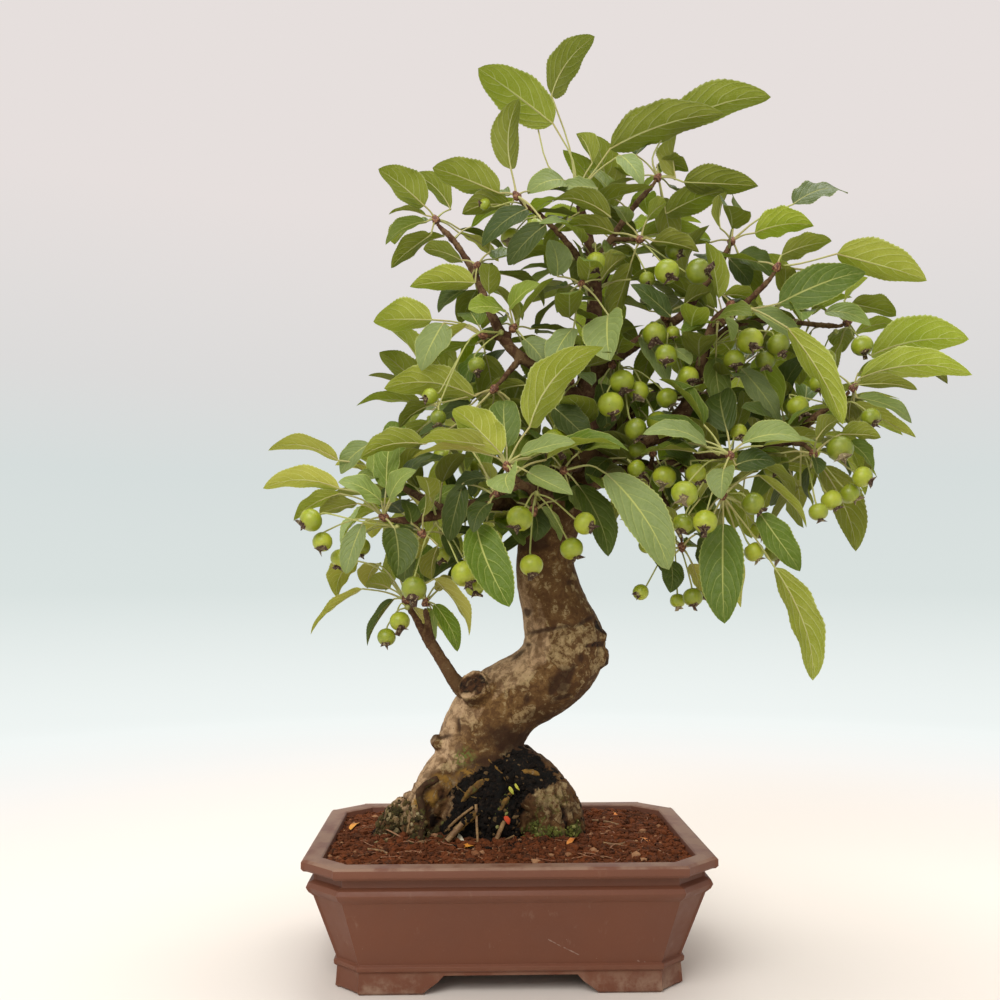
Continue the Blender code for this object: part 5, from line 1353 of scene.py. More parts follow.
def found_sprays():
    """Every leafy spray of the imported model, with the poses and looks of its leaves."""
    sprays = {}
    for name, (bud, look, rows) in SPRAYS.items():
        start, direction, root = bud_root(bud)
        solid = Solid(f"leaves_{name}")
        leaves = []
        for row, kind in zip(rows, look):
            poses = [seen_leaf(row, bud, root, shift) for shift in SHIFTS]
            leaves.append((min(poses, key=lambda pose: solid.miss(pose[3])), kind))
        leaves += found_by_rule(name, INNER_LEAVES, lambda index, turn, draws: inner_leaf(
            bud, root, turn, draws), solid, "dmy" if bud[0] < -40 else "dmo")
        sprays[name] = (start, direction, leaves)
    for name, (bud, count) in BACK_SPRAYS.items():
        start, direction, root = bud_root(bud)
        leaves = found_by_rule(name, count, lambda index, turn, draws: back_leaf(
            bud, root, index / count, turn, draws), Solid(f"leaves_{name}"), "mdgogb")
        sprays[name] = (start, direction, leaves)
    return sprays


def tone_of(kind, rng):
    """Painted light and shade, yellow, bloom and chance of spots of one leaf."""
    light, yellow, bloom, chance = LOOKS[kind]
    return (min(max(light + rng.uniform(-0.1, 0.1), 0.02), 1.0),
            min(max(yellow + rng.uniform(-0.08, 0.12), 0), 1),
            min(max(bloom + rng.uniform(-0.12, 0.12), 0), 1), rng.uniform(0, 0.7) + chance * 0.3)


def leafy_parts(name, blank, materials, leaves, resolution):
    """Blades as one object and their stalks as another, from copies, tones and runs."""
    copies, tones, runs = leaves
    blades = repeated(f"blades_{name}", blank.data, copies, tones, materials[:2])
    smoothed(blades, 70)
    return [blades, tubes(f"stalks_{name}", runs, resolution, materials[2])]


def make_sprays(settings, materials, blank):
    """Replace each packed spray by blades with stalks and bud scales."""
    numbers = blank_numbers(blank)
    radius = settings.stalk_width / 2
    for name, (start, direction, leaves) in found_sprays().items():
        rng = random.Random(f"spray {name}")
        copies, tones, runs = [], [], []
        for (root, via, base, tip, normal, width), kind in leaves:
            form = leaf_form(rng)
            copies.append(shaped_leaf(numbers, base, tip, normal, width, form, settings.thickness))
            tones.append(tone_of(kind, rng))
            runs.append(stalk_run(root, via, base, radius))
            runs.append(midrib_run(base, tip, normal, form, settings.thickness, radius))
        rings = [(start + direction * far * MM, ring * MM) for far, ring in BUD]
        parts = leafy_parts(name, blank, materials, (copies, tones, runs), 1)
        parts.append(tubes(f"scales_{name}", [rings], 3, materials[3]))
        declared(joined(f"spray_{name}", parts), f"leaves_{name}")


def spur_places(rng):
    """Endless places on the branches where a small shoot can start, with the branch's direction."""
    limbs = [rows for name, rows in BRANCHES.items() if not name.startswith("young")]
    limbs.append([row for row in TRUNK if row[1] > 300])
    stretches = []
    for rows in limbs:
        for first, second in zip(rows, rows[1:]):
            stretches.append((math.dist(first[:3], second[:3]), first, second))
    weights = [stretch[0] for stretch in stretches]
    while True:
        _, first, second = rng.choices(stretches, weights)[0]
        share = rng.random()
        x, z, y, radius = (a + (b - a) * share for a, b in zip(first, second))
        yield place(x, z, y), radius * MM, (place(*second[:3]) - place(*first[:3])).normalized()


def make_inner_leaves(settings, materials, blank):
    """Small leafy shoots on the inner branches that close the canopy, clear of what is seen in front."""
    numbers = blank_numbers(blank)
    names = [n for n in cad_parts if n.startswith(("leaves_", "fruit_"))]
    seen = solid_surface(*[n for n in names if "back_" not in n])
    every = solid_surface(*names)
    wood = solid_surface("wood")
    rng = random.Random("inner leaves")
    eye = eye_place()
    low, high = (Vector(corner) for corner in CAD_BOX)
    copies, tones, runs, taken = [], [], [], []
    spots = spur_places(rng)
    for tries in range(1, MOST_TRIES + 1):
        if len(copies) == settings.inner:
            break
        middle, radius, along = next(spots)
        outward = Vector([rng.gauss(0, 1) for _ in range(3)]) - Vector((0.0, 0.7, 0.0))
        outward = (outward - along * outward.dot(along)).normalized()
        root = middle + outward * radius * 0.7
        heading = (outward + Vector((0.3 * rng.gauss(0, 1), 0.3 * rng.gauss(0, 1), 0.2))).normalized()
        base = root + heading * rng.uniform(10, 24) * MM
        lean = (heading + Vector((rng.gauss(0, 0.45), rng.gauss(0, 0.45), -0.15))).normalized()
        length = rng.uniform(26, 46) * MM
        tip = base + lean * length
        width = length * rng.uniform(0.42, 0.56)
        normal = Vector((rng.gauss(0, 0.4), rng.gauss(0, 0.4) - 0.1, 1.0))
        side = lean.cross(normal).normalized() * width * 0.45
        centre = base.lerp(tip, 0.45)
        probes = [base, centre, base.lerp(tip, 0.8), tip, centre + side, centre - side]
        if any(p[i] < low[i] + EDGE_ROOM or p[i] > high[i] - EDGE_ROOM for p in probes for i in range(3)):
            continue
        covered = sum(wood.ray_cast(p, p - eye, SIGHT)[0] is not None for p in probes)
        if covered < 2 and tries < COVERED_TRIES:
            continue
        if any(every.find_nearest(p)[3] < PIECE_ROOM for p in probes):
            continue
        if any((p - q).length < LEAF_ROOM for p in probes[1:] for q in taken):
            continue
        if any(every.ray_cast(a, (b - a).normalized(), (b - a).length)[0] is not None
               for a, b in ((base, tip), (centre + side, centre - side), (root, base))):
            continue
        clear = True
        inside = 0
        for p in probes:
            away = (p - eye).normalized()
            if seen.ray_cast(p + away * MM, away, SIGHT)[0] is not None:
                clear = False
            if seen.ray_cast(p - away * MM, -away, SIGHT)[0] is not None:
                inside += 1
        xs, zs, _ = front_numbers(np.array([tuple(p) for p in probes]))
        if not clear or not in_outline(xs, zs, OUTLINES["canopy"]).all():
            continue
        form = leaf_form(rng)
        copies.append(shaped_leaf(numbers, base, tip, normal, width, form, settings.thickness))
        # Leaves with fewer than three probes behind seen leaves take the darker looks, which carry more
        # painted shade
        tones.append(tone_of(rng.choice("dddmmoog" if inside < 3 else "ddmmogb"), rng))
        runs.append(stalk_run(root, None, base, settings.stalk_width / 2))
        taken += probes[1:]
    parts = leafy_parts("inner", blank, materials, (copies, tones, runs), 0)
    declared(joined("inner_leaves", parts))


def in_outline(xs, zs, outline):
    """Whether each place lies inside a closed outline."""
    inside = np.zeros(len(xs), dtype=bool)
    for (x0, z0), (x1, z1) in zip(outline, outline[1:] + outline[:1]):
        crosses = (z0 > zs) != (z1 > zs)
        level = (x1 - x0) * (zs - z0) / ((z1 - z0) or 1e-9) + x0
        inside ^= crosses & (xs < level)
    return inside


# Fruit

# Knob that a bunch hangs from: height and radius of each ring, in millimetres
KNOB_RINGS = ((-1.7, 0.6), (-1.0, 1.5), (0.0, 1.7), (1.0, 1.5), (1.7, 0.6))


def fruit_blank():
    """A small apple of radius one, dimpled at both ends, and how far down it each vertex lies."""
    blank = primitive(bpy.ops.mesh.primitive_uv_sphere_add, segments=16, ring_count=10, radius=1.0)
    places = coordinates(blank.data)
    polar = np.arccos(np.clip(places[:, 2], -1, 1))
    dimple = 0.2 * np.exp(-((polar / 0.42) ** 2)) + 0.12 * np.exp(-(((math.pi - polar) / 0.36) ** 2))
    places *= (1 - dimple)[:, None]
    places[:, 2] *= 0.95
    set_coordinates(blank.data, places)
    return blank, polar / math.pi


def calyx_blank():
    """Five dried sepals round a short cup, hanging below a fruit of radius one."""
    blank = primitive(bpy.ops.mesh.primitive_cone_add, vertices=10, radius1=0.5, radius2=0.26, depth=0.4,
                      end_fill_type="TRIFAN")
    with editing():
        select_edges(blank, lambda edge: abs(edge.verts[0].co.z - edge.verts[1].co.z) > 0.3)
        bpy.ops.mesh.subdivide(number_cuts=1, ngon=False)
    places = coordinates(blank.data)
    turn = np.arctan2(places[:, 1], places[:, 0])
    spoke = np.abs((turn / math.tau * 5) % 1 - 0.5) * 2
    reach = np.hypot(places[:, 0], places[:, 1])
    low = places[:, 2] < -0.15
    rim = low & (reach > 0.1)
    middle = np.abs(places[:, 2]) < 0.1
    target = np.where(rim, np.where(spoke > 0.5, 0.6, 0.16), np.where(middle, 0.26 + 0.1 * spoke, reach))
    places[:, :2] *= np.where(reach > 0.01, target / np.maximum(reach, 0.01), 1.0)[:, None]
    places[:, 2] = np.where(rim, np.where(spoke > 0.5, -0.3, -0.2), places[:, 2])
    places[:, 2] = np.where(low & (reach < 0.1), -0.12, places[:, 2])
    places *= 1.2
    places[:, 2] -= 0.8
    set_coordinates(blank.data, places)
    return blank


def upright(direction, spin):
    """Turn whose z axis points along a direction."""
    return Vector((0.0, 0.0, 1.0)).rotation_difference(direction).to_matrix() @ Matrix.Rotation(spin, 3, "Z")


def make_bunches(settings):
    """Hang each bunch with its stalks and calyxes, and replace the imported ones."""
    skin = fruit_skin_material(settings)
    calyx = calyx_material(settings)
    stalk = stalk_material("fruit_stalks", settings.stalk, (168, 160, 84), 0.7)
    wood = solid_surface("wood")
    fruit, polar = fruit_blank()
    cup = calyx_blank()
    round_places = coordinates(fruit.data)
    cup_places = coordinates(cup.data)
    radius = settings.stalk_width / 2
    for name, (hint, *fruits) in {**BUNCHES, **LOOSE_BUNCHES}.items():
        rng = random.Random(f"bunch {name}")
        packed = name in BUNCHES
        knob, found = found_bunch(name, hint, fruits, wood) if packed else free_bunch(hint, fruits)
        copies, cups, tones, cup_tones = [], [], [], []
        runs = [[(knob + Vector((0, 0, height)) * MM, ring * MM) for height, ring in KNOB_RINGS]]
        for centre, size, down, middle in found:
            down = (down - Vector((0.0, rng.choice((0.0, 0.25, 0.5, 0.7)), 0.0))).normalized()
            turn = np.array(upright(-down, rng.uniform(0, 6.28)))
            swell = np.array([rng.uniform(0.96, 1.04), rng.uniform(0.96, 1.04), rng.uniform(0.94, 1.03)])
            copies.append(np.array(centre) + (round_places * swell * size) @ turn.T)
            ragged = cup_places + np.array([[rng.uniform(-0.1, 0.1) for _ in range(3)] for _ in cup_places])
            cups.append(np.array(centre) + (ragged * size * rng.uniform(0.95, 1.05)) @ turn.T)
            tones.append(rng.random())
            cup_tones.append((0.0, rng.random(), 0.0, 1.0))
            top = centre - down * size * 0.72
            points = [knob + (middle - knob).normalized() * 0.8 * MM, middle,
                      top - down * STALK_BEND * 0.6 * MM, top + down * 1.2 * MM]
            runs.append(free_run(points, [radius, radius * 0.85, radius * 0.95, radius * 1.25], 3))
        ball = repeated(f"fruit_balls_{name}", fruit.data, copies, [(0, 0, 0, 1)] * len(copies), [skin])
        end = np.tile(polar, len(copies))
        chance = np.repeat(tones, len(polar))
        paint(ball.data, "tone", end, chance, 0.0, 1.0)
        smoothed(ball)
        sepals = repeated(f"calyx_{name}", cup.data, cups, cup_tones, [calyx])
        bunch = joined(f"bunch_{name}", [ball, sepals, tubes(f"fruit_stalks_{name}", runs, 1, stalk)])
        declared(bunch, f"fruit_{name}" if packed else None)
    bpy.data.objects.remove(fruit)
    bpy.data.objects.remove(cup)


# Trunk, roots and branches

# Spots on the trunk as seen from the front: x, z, half width, half height, turn in degrees, how far
# they sink (+) or swell (-) and the mark; the dark marks are painted shade in creases and round the peat,
# and the hollows are painted near black as shade
TRUNK_SPOTS = """
-19.5 155 10 6.2 16 2.2 hollow; -42 75 3 4 0 2.4 hollow; -38 90 2.6 3.4 0 2.0 hollow;
-66 82 3 2.4 0 1.8 hollow; -46 82 2.4 3 0 1.8 hollow; 12 197 3.4 2.4 20 1.2 dark; 32 156 6 8 -25 0.8 dark;
28 152 2.2 6 -20 1.0 dark; 38 160 2 7 -20 1.0 dark; 33 147 6 1.5 12 0.9 dark; 54 178 7 1.6 8 1.4 hollow;
57 188 7 3 -50 1.0 hollow; 61 167 2.4 5 -10 0.8 hollow; 25 187 13 1.4 10 0.7 dark;
47 192 7 1.3 30 0.7 dark; 35 76 1.8 9 14 2.2 hollow; 13 178 2 1.6 0 0.8 dark; 38 215 2 1.8 0 0.8 dark;
44 170 1.6 2.6 0 0.8 dark; 12 146 1.6 2.6 0 0.7 dark; -37 124 5 1.2 15 0.8 dark; 8 120 22 9 -12 0.2 dark;
-14 107 18 6 25 0.0 dark; -43 128 4 7 0 0.0 dark; 16 237 11 4 0 0.5 dark; -28 131 1.1 5 5 0.7 dark;
7 172 5 1.2 40 0.5 dark; 34 176 9 11 20 -0.3 pale; 49 184 4 4 0 -0.3 pale; -4 147 6 4 30 -0.2 pale;
8 160 9 7 10 -0.3 pale; -30 137 8 6 0 -0.3 pale; 47 160 4 9 -30 -0.2 pale; 24 90 13 6 30 -0.4 pale;
37 206 5 8 0 0.0 pale; -34 98 7 3 -20 -0.3 ochre; -44 88 4 5 0 0.0 ochre; -22 104 7 2.6 20 0.0 ochre;
-52 86 4 3 0 0.0 ochre; -25 112 6 5 30 0.0 moss"""

# Roots that cross the peat: front x, z and how far each point stands off, and the width, in millimetres
PEAT_ROOTS = [
    ([(-27, 86, -1), (-18.5, 94.5, 1.0), (-9, 101.5, -1.2)], 4.8),
    ([(8, 104, -0.5), (15, 103.5, 0.9), (21, 100.5, -0.8)], 3.6),
    ([(3, 92, -0.9), (-2, 85, 0.6), (-7, 76, -0.4)], 3.6),
    ([(-12, 112, -0.4), (-4, 104, 0.6), (1, 96, -0.6)], 1.4),
    ([(-30, 96, 0.2), (-22, 90, 0.9), (-12, 88, 0.2)], 1.2),
    ([(12, 110, 0.2), (16, 100, 0.8), (10, 92, 0.1)], 1.1),
]


def surface_noise(places, scale, octaves=3):
    """Layered noise at each place, about -1 to 1."""
    return np.array([noise.fractal(Vector(spot) * scale, 0.8, 2.1, octaves) for spot in places])


def held(values):
    return np.clip(values, 0, 1)


def rough_wood(made, settings):
    """Sink wrinkles, scars and hollows into the wood, raise its plates and store where its stains, its
    painted shade and its painted light lie.
    """
    mesh = made.data
    places = coordinates(mesh)
    normals = vertex_normals(mesh)
    xs, zs, _ = front_numbers(places)
    to_eye = np.array(eye_place()) - places
    to_eye /= np.linalg.norm(to_eye, axis=1)[:, None]
    front = held((np.sum(normals * to_eye, axis=1) - 0.05) / 0.35)
    flat = places * np.array([1.0, 1.0, 0.6])
    broad = surface_noise(places, 55.0)
    fine = surface_noise(flat, 330.0)
    ragged = surface_noise(places, 160.0)

    def within(outline, uneven):
        """A ragged mask of an outline in the front view."""
        return in_outline(xs + uneven * 5.0, zs + uneven * 5.0, OUTLINES[outline]).astype(float)

    craggy = held((110 - zs) / 22)
    # Wrinkles sink into the wood and are painted dark as shade
    wrinkle = (held(0.28 - np.abs(surface_noise(flat, 105.0, 2))) / 0.28) ** 2 * craggy
    move = 0.9 * broad + (0.3 + 0.7 * craggy) * fine + 1.7 * craggy * ragged - wrinkle * settings.wrinkle / MM
    stain = {mark: np.zeros(len(places)) for mark in ("peat", "moss", "ochre", "pale", "dark", "hollow")}
    # Painted light: bark turned up and to the left is made pale; the rims of the big hollow are pale too
    sunny = (0.6 * normals[:, 2] - normals[:, 0] - 0.36 + 0.25 * ragged) / 0.5
    lit_and_bleached = held(sunny) * held((zs - 68) / 25) * held((225 - zs) / 30)
    lit_and_bleached *= 1 - 0.7 * held((xs + 34) / 8) * held((140 - zs) / 10)
    for row in TRUNK_SPOTS.split(";"):
        *numbers, mark = row.split()
        x, z, half, tall, turn, sink = (float(number) for number in numbers)
        turn = math.radians(turn)
        across = (xs - x) * math.cos(turn) + (zs - z) * math.sin(turn)
        upward = (zs - z) * math.cos(turn) - (xs - x) * math.sin(turn)
        away = np.sqrt((across / half) ** 2 + (upward / tall) ** 2) + ragged * 0.3
        inside = held(1.35 - away) * front
        move -= sink * held(inside * 1.6)
        if mark == "hollow":
            ring = np.exp(-(((away - 1.4) / 0.25) ** 2)) * front
            move += 0.8 * ring + 0.5 * np.sin(away * 12) * (away < 1) * front
            inside = held((1.0 - away) * 3.0) * front
            if half > 9:
                rim = np.exp(-(((away - 0.95) / 0.12) ** 2)) + 0.7 * np.exp(-(((away - 0.5) / 0.09) ** 2))
                rim *= held(0.6 + 2.5 * fine) * front
                lit_and_bleached = np.maximum(lit_and_bleached * (away > 1), rim)
                inside *= 1 - 0.85 * held(rim)
        stain[mark] = np.maximum(stain[mark], held(inside * 1.5))
    raised = surface_noise(places, 60.0) * (1 - 0.5 * craggy) + 0.45 * stain["pale"]
    raised -= 0.28 * held((zs - 194) / 12)
    move += held((raised - 0.28) / 0.1) * settings.plate / MM
    peat = within("peat", ragged + 0.6 * fine) * front
    lobe = within("lobe", ragged + 0.6 * fine)
    # Painted shade in a ragged band round the peat
    shade_round_peat = within("peat", 2.5 * ragged + fine) * front * 0.6
    low = held((100 - zs) / 30) * (1 - front)
    peat = np.maximum(peat * (1 - lobe), (ragged + low * 0.9 > 0.62).astype(float) * (low > 0))
    buried = held((70.5 - zs) / 4)
    stain["peat"] = held(np.maximum(peat, buried * 0.8))
    move += stain["peat"] * (surface_noise(places, 420.0) * 1.5 - 0.8)
    mossy = np.maximum(within("moss", ragged) * front, (broad > 0.35) * held((96 - zs) / 30))
    stain["moss"] = np.maximum(stain["moss"], mossy * (1 - stain["peat"]))
    # Painted shade on the faces turned downwards, and on the upper trunk under the canopy
    shaded = held((-normals[:, 2] - 0.3) / 0.6) * 0.55
    upper = held((zs - 222) / 20) * 0.45
    stain["dark"] = np.maximum.reduce([stain["dark"], shaded, upper, wrinkle, shade_round_peat])
    set_coordinates(mesh, places + normals * (move * 0.55 * MM)[:, None])
    paint(mesh, "stain", stain["peat"], stain["moss"], stain["ochre"], lit_and_bleached)
    young = held((zs - 280) / 30)
    height = held(0.5 + 0.5 * raised)
    paint(mesh, "shade_and_bark", stain["dark"], young, stain["hollow"], height)


def grown_together(made, cell):
    """Fuse the overlapping runs into one skin and smooth its joints."""
    remesh = made.modifiers.new("fuse", "REMESH")
    remesh.mode = "VOXEL"
    remesh.voxel_size = cell
    smooth = made.modifiers.new("smooth", "SMOOTH")
    smooth.iterations = 4
    smooth.factor = 0.5
    apply_modifiers(made)


def wood_piece(made, bark):
    """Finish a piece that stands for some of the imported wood."""
    dressed(made, bark)
    smoothed(made)
    declared(made, "wood")


def make_trunk(settings, bark):
    """The trunk with its root lobes and knobs, grown together."""
    runs = [wood_run(TRUNK, 5.0)]
    runs += [wood_run(rows, 5.0) for name, rows in ROOTS.items() if "stray" not in name]
    runs += [wood_run(rows, 3.0) for rows in KNOBS.values()]
    trunk = tubes("trunk_and_roots", runs, 6)
    grown_together(trunk, 1.0 * MM)
    rough_wood(trunk, settings)
    wood_piece(trunk, bark)


def behind(surface, x, z, lift=0.0):
    """Where the sight line through front x, z meets a surface, lifted towards the eye by millimetres."""
    eye = eye_place()
    hit, normal, _, _ = surface.ray_cast(eye, place(x, z, 0.0) - eye)
    return hit and (hit + (eye - hit).normalized() * lift * MM, normal)


def laid_run(surface, rows, radii, pieces):
    """A smooth run over a surface, through front x, z and how far each point stands off."""
    return free_run([behind(surface, x, z, lift)[0] for x, z, lift in rows], radii, pieces)


def make_small_roots(bark):
    """The thin roots that stand clear of the trunk and those that cross the peat."""
    surface = solid_surface("wood", "soil")
    runs = [wood_run(rows, 3.0) for name, rows in ROOTS.items() if "stray" in name]
    for rows, width in PEAT_ROOTS:
        radius = width / 2 * MM
        runs.append(laid_run(surface, rows, [radius * 0.6, radius, radius * 0.5], 4))
    roots = tubes("small_roots", runs, 3)
    thicken = roots.modifiers.new("split", "SUBSURF")
    thicken.levels = 1
    thicken.render_levels = 1
    apply_modifiers(roots)
    mesh = roots.data
    places = coordinates(mesh)
    lumps = surface_noise(places, 260.0)
    set_coordinates(mesh, places + vertex_normals(mesh) * (lumps * 0.6 * MM)[:, None])
    xs = front_numbers(places)[0]
    ochre = np.clip(0.5 + lumps, 0, 0.8) * (xs > -30)
    paint(mesh, "stain", 0.0, np.clip(-lumps, 0, 0.7), ochre, 0.0)
    # Painted shade in the dents between the lumps; the roots left of x -38 are dark all over
    paint(mesh, "shade_and_bark", held(0.4 - lumps + (xs < -38)), (xs < -30) * 0.7, 0.0, 0.3)
    wood_piece(roots, bark)


def make_branches(bark):
    """The branches and the twigs of the sprays, a little thinner than their solids."""
    buds = [bud for bud, *_ in [*SPRAYS.values(), *BACK_SPRAYS.values()]]
    rods = [*BRANCHES.values(), *(twig_rows(bud) for bud in buds)]
    runs = [wood_run([(x, z, y, max(r - 0.6, 0.7 * r)) for x, z, y, r in rows], 4.0) for rows in rods]
    branches = tubes("branches_and_twigs", runs, 3)
    grown_together(branches, 1.15 * MM)
    mesh = branches.data
    places = coordinates(mesh)
    zs = front_numbers(places)[1]
    rings = np.clip(np.sin(surface_noise(places, 40.0, 2) * 20), 0.7, 1) - 0.7
    move = 0.35 * surface_noise(places, 130.0, 3) + rings * 1.2
    set_coordinates(mesh, places + vertex_normals(mesh) * (move * MM)[:, None])
    paint(mesh, "stain", *[zs * 0.0] * 4)
    # The branches' dark channel is a quarter everywhere
    paint(mesh, "shade_and_bark", 0.25, 1 - 0.5 * held((190 - zs) / 30), 0.0, 0.3)
    wood_piece(branches, bark)


# Soil

# Sticks on the soil: lists of x, y in millimetres from the pot's middle, width, and lift in millimetres
STICKS = [
    ([(52, -20), (60, -26), (66, -24)], 1.6, 1.2), ([(-78, -30), (-70, -36), (-66, -44)], 1.4, 1.0),
    ([(70, 22), (62, 30), (52, 33)], 1.8, 1.4), ([(-60, 40), (-48, 44), (-40, 41)], 1.6, 1.3),
    ([(20, 52), (30, 50), (38, 54)], 1.5, 1.2),
]

# Sticks that lean on the trunk's foot: front x, z and how far each point stands off, and the width
LEANING = [
    ([(-36, 69.5, 1), (-28, 77, 2.2), (-19.6, 83.4, 2)], 2.0),
    ([(-34.8, 64, 1.4), (-26, 74, 1.6)], 3.6),
    ([(-17.9, 85, 1.2), (-17.4, 73, 3), (-16.7, 61.6, 1)], 1.8),
    ([(-1.5, 75, 0.6), (-6.7, 63, 1.2)], 2.8),
    ([(-3, 63.5, 1), (4.4, 67, 2.4)], 1.1),
    ([(-57.8, 88, 1), (-56.5, 77, 1.2), (-59, 66, 1)], 1.3),
]

# Long roots that lie on the soil, given in the same way
LYING = [
    ([(-86, 74.6, 1.6), (-84.4, 72.6, 1), (-78, 72.4, 1.2), (-70, 70.4, 0.8), (-58, 64.6, 1),
      (-49, 63.6, 0.6)], 1.2),
    ([(46, 67.6, 0.8), (55, 68.2, 1.4), (66.5, 68, 0.7)], 0.9),
    ([(-6, 59.9, 0.6), (14, 59.2, 1.3), (18, 55.4, 0.6)], 0.8),
    ([(8, 56, 0.7), (16.6, 61.4, 1.4), (20, 63.8, 0.9)], 1.0),
    ([(72, 57, 0.7), (84, 60, 1.2), (95, 56, 0.7)], 0.8),
]

# Colours of the dry bits, from one tone to the other
DRY = {
    "stick_bark": ((152, 120, 76), (106, 76, 46)), "fine_root_skin": ((128, 70, 44), (168, 128, 90)),
    "yellow_leaf": ((226, 162, 52), (206, 124, 40)), "orange_leaf": ((214, 116, 44), (226, 150, 66)),
    "red_leaf": ((214, 78, 30), (190, 60, 26)), "lime_leaf": ((196, 190, 70), (170, 170, 60)),
    "white_petal": ((214, 206, 182), (196, 186, 156)),
}

# Fallen leaves: front x, z of the base and of the tip, width in millimetres, and which finish
FALLEN = [
    ((-27, 59.5), (-18, 61.5), 4.6, "yellow_leaf"), ((36, 60), (41, 65.5), 4.4, "orange_leaf"),
    ((-1.5, 78), (2, 73.6), 3.6, "red_leaf"), ((1.5, 95.4), (4.4, 90.6), 2.2, "lime_leaf"),
    ((5, 97), (7.6, 93), 1.8, "lime_leaf"), ((-29, 67), (-25, 63.4), 2.6, "white_petal"),
    ((78, 66), (84, 63), 4.0, "orange_leaf"), ((-92, 70), (-86, 74), 4.4, "yellow_leaf"),
    ((60, 80), (66, 78), 4.0, "orange_leaf"),
]


def soil_spots(surface, rng, count):
    """Places strewn over the soil's top, outside the wood."""
    found = []
    while len(found) < count:
        x = rng.uniform(POT_LOW.x, POT_HIGH.x)
        y = rng.uniform(POT_LOW.y, POT_HIGH.y)
        hit, normal, _, _ = surface.ray_cast(Vector((x, y, 0.075)), Vector((0.0, 0.0, -1.0)), 0.02)
        if hit is not None and normal.z > 0.5 and hit.z > 0.06:
            found.append((hit, normal))
    return found


def seen_spots(surface, name, count, rng):
    """Places on a surface behind random points of an outline in the front view."""
    outline = OUTLINES[name]
    low = np.min(outline, axis=0)
    high = np.max(outline, axis=0)
    found = []
    while len(found) < count:
        x = rng.uniform(low[0], high[0])
        z = rng.uniform(low[1], high[1])
        struck = behind(surface, x, z)
        if struck and in_outline(np.array([x]), np.array([z]), outline)[0]:
            found.append(struck)
    return found


def strewn(name, spots, size, share_dark, share_pale, material):
    """Lumpy crumbs on the given spots, some of them dark and some pale."""
    blank = primitive(bpy.ops.mesh.primitive_ico_sphere_add, subdivisions=1, radius=0.5)
    ball = coordinates(blank.data)
    rng = random.Random(name)
    draw = np.random.default_rng(7)
    copies, tones = [], []
    for hit, normal in spots:
        width = size * min(rng.lognormvariate(-0.25, 0.42), 2.2)
        turn = np.array(upright(normal, rng.uniform(0, 6.28)))
        stretch = np.array([rng.uniform(0.7, 1.3), rng.uniform(0.7, 1.3), rng.uniform(0.5, 0.9)])
        lumpy = ball * (1 + draw.uniform(-0.28, 0.28, (len(ball), 1))) * stretch * width
        copies.append(np.array(hit + normal * width * 0.2) + lumpy @ turn.T)
        dark = rng.uniform(0.6, 1.0) if rng.random() < share_dark else rng.uniform(0, 0.5)
        pale = rng.uniform(0.3, 0.9) if rng.random() < share_pale else 0.0
        tones.append((dark * (pale == 0.0), pale, rng.random(), 1.0))
    declared(repeated(name, blank.data, copies, tones, [material]))
    bpy.data.objects.remove(blank)


def make_crumbs(settings, earth):
    """Crumbs on the soil, peat and moss between the roots."""
    rng = random.Random("crumbs")
    spots = soil_spots(solid_surface("soil"), rng, settings.crumbs)
    strewn("soil_crumbs", spots, settings.crumb_size, 0.25, 0.035, earth)
    wood = solid_surface("wood", "soil")
    peat = dirt_material("peat_crumbs", (25, 17, 11), (10, 8, 6), (112, 88, 56),
                         (44, 30, 18))
    strewn("peat_crumbs", seen_spots(wood, "peat", 1100, rng), 2.0 * MM, 0.6, 0.05, peat)
    moss = dirt_material("moss_cushion", (100, 100, 42), (54, 58, 26), (158, 152, 96),
                         (122, 128, 48))
    spots = seen_spots(wood, "moss", 320, rng) + seen_spots(wood, "mossy_bits", 90, rng)
    strewn("moss_tufts", spots, 1.5 * MM, 0.4, 0.1, moss)
    litter = dirt_material("root_litter", (104, 84, 50), (40, 30, 18), (178, 160, 120),
                           (98, 100, 46))
    strewn("root_litter", seen_spots(wood, "left_foot", 420, rng), 2.1 * MM, 0.55, 0.12, litter)


def on_soil(surface, x, y, lift):
    spot = SETTLED + Vector((x * MM, y * MM, 0.0))
    hit = surface.ray_cast(Vector((spot.x, spot.y, 0.08)), Vector((0.0, 0.0, -1.0)), 0.03)[0]
    level = hit.z if hit else SOIL_LEVEL
    return Vector((spot.x, spot.y, level + lift * MM))


def make_litter(twig, fibre):
    """Sticks and fine roots on the soil."""
    surface = solid_surface("soil")
    foot = solid_surface("wood", "soil")
    rng = random.Random("litter")
    runs = []
    for points, width, lift in STICKS:
        places = [on_soil(surface, x, y, 0.4 * width + lift * index / len(points))
                  for index, (x, y) in enumerate(points)]
        radius = width / 2 * MM
        runs.append(free_run(places, [radius, radius * 0.9, radius * 0.7], 4))
    for rows, width in LEANING:
        runs.append(laid_run(foot, rows, tapered(width / 2 * MM, 0.12, rows), 3))
    declared(tubes("fallen_sticks", runs, 2, twig))
    runs = []
    for _ in range(90):
        x = rng.uniform(-88, 88)
        y = rng.uniform(-60, 60)
        turn = rng.uniform(0, 6.28)
        points = []
        for _ in range(5):
            points.append(on_soil(surface, x, y, 0.7 + rng.uniform(0.0, 1.1)))
            turn += rng.gauss(0, 0.5)
            x = max(-90, min(90, x + 3.4 * math.cos(turn)))
            y = max(-64, min(64, y + 3.4 * math.sin(turn)))
        runs.append(list(zip(points, tapered(rng.uniform(0.16, 0.34) * MM, 0.12, points))))
    for rows, width in LYING:
        runs.append(laid_run(foot, rows, tapered(width / 2 * MM, 0.08, rows), 3))
    declared(tubes("fine_roots", runs, 1, fibre))


def tapered(radius, share, rows):
    """A radius for each row, each smaller than the last by a share of the first."""
    return [radius * (1 - share * index) for index in range(len(rows))]


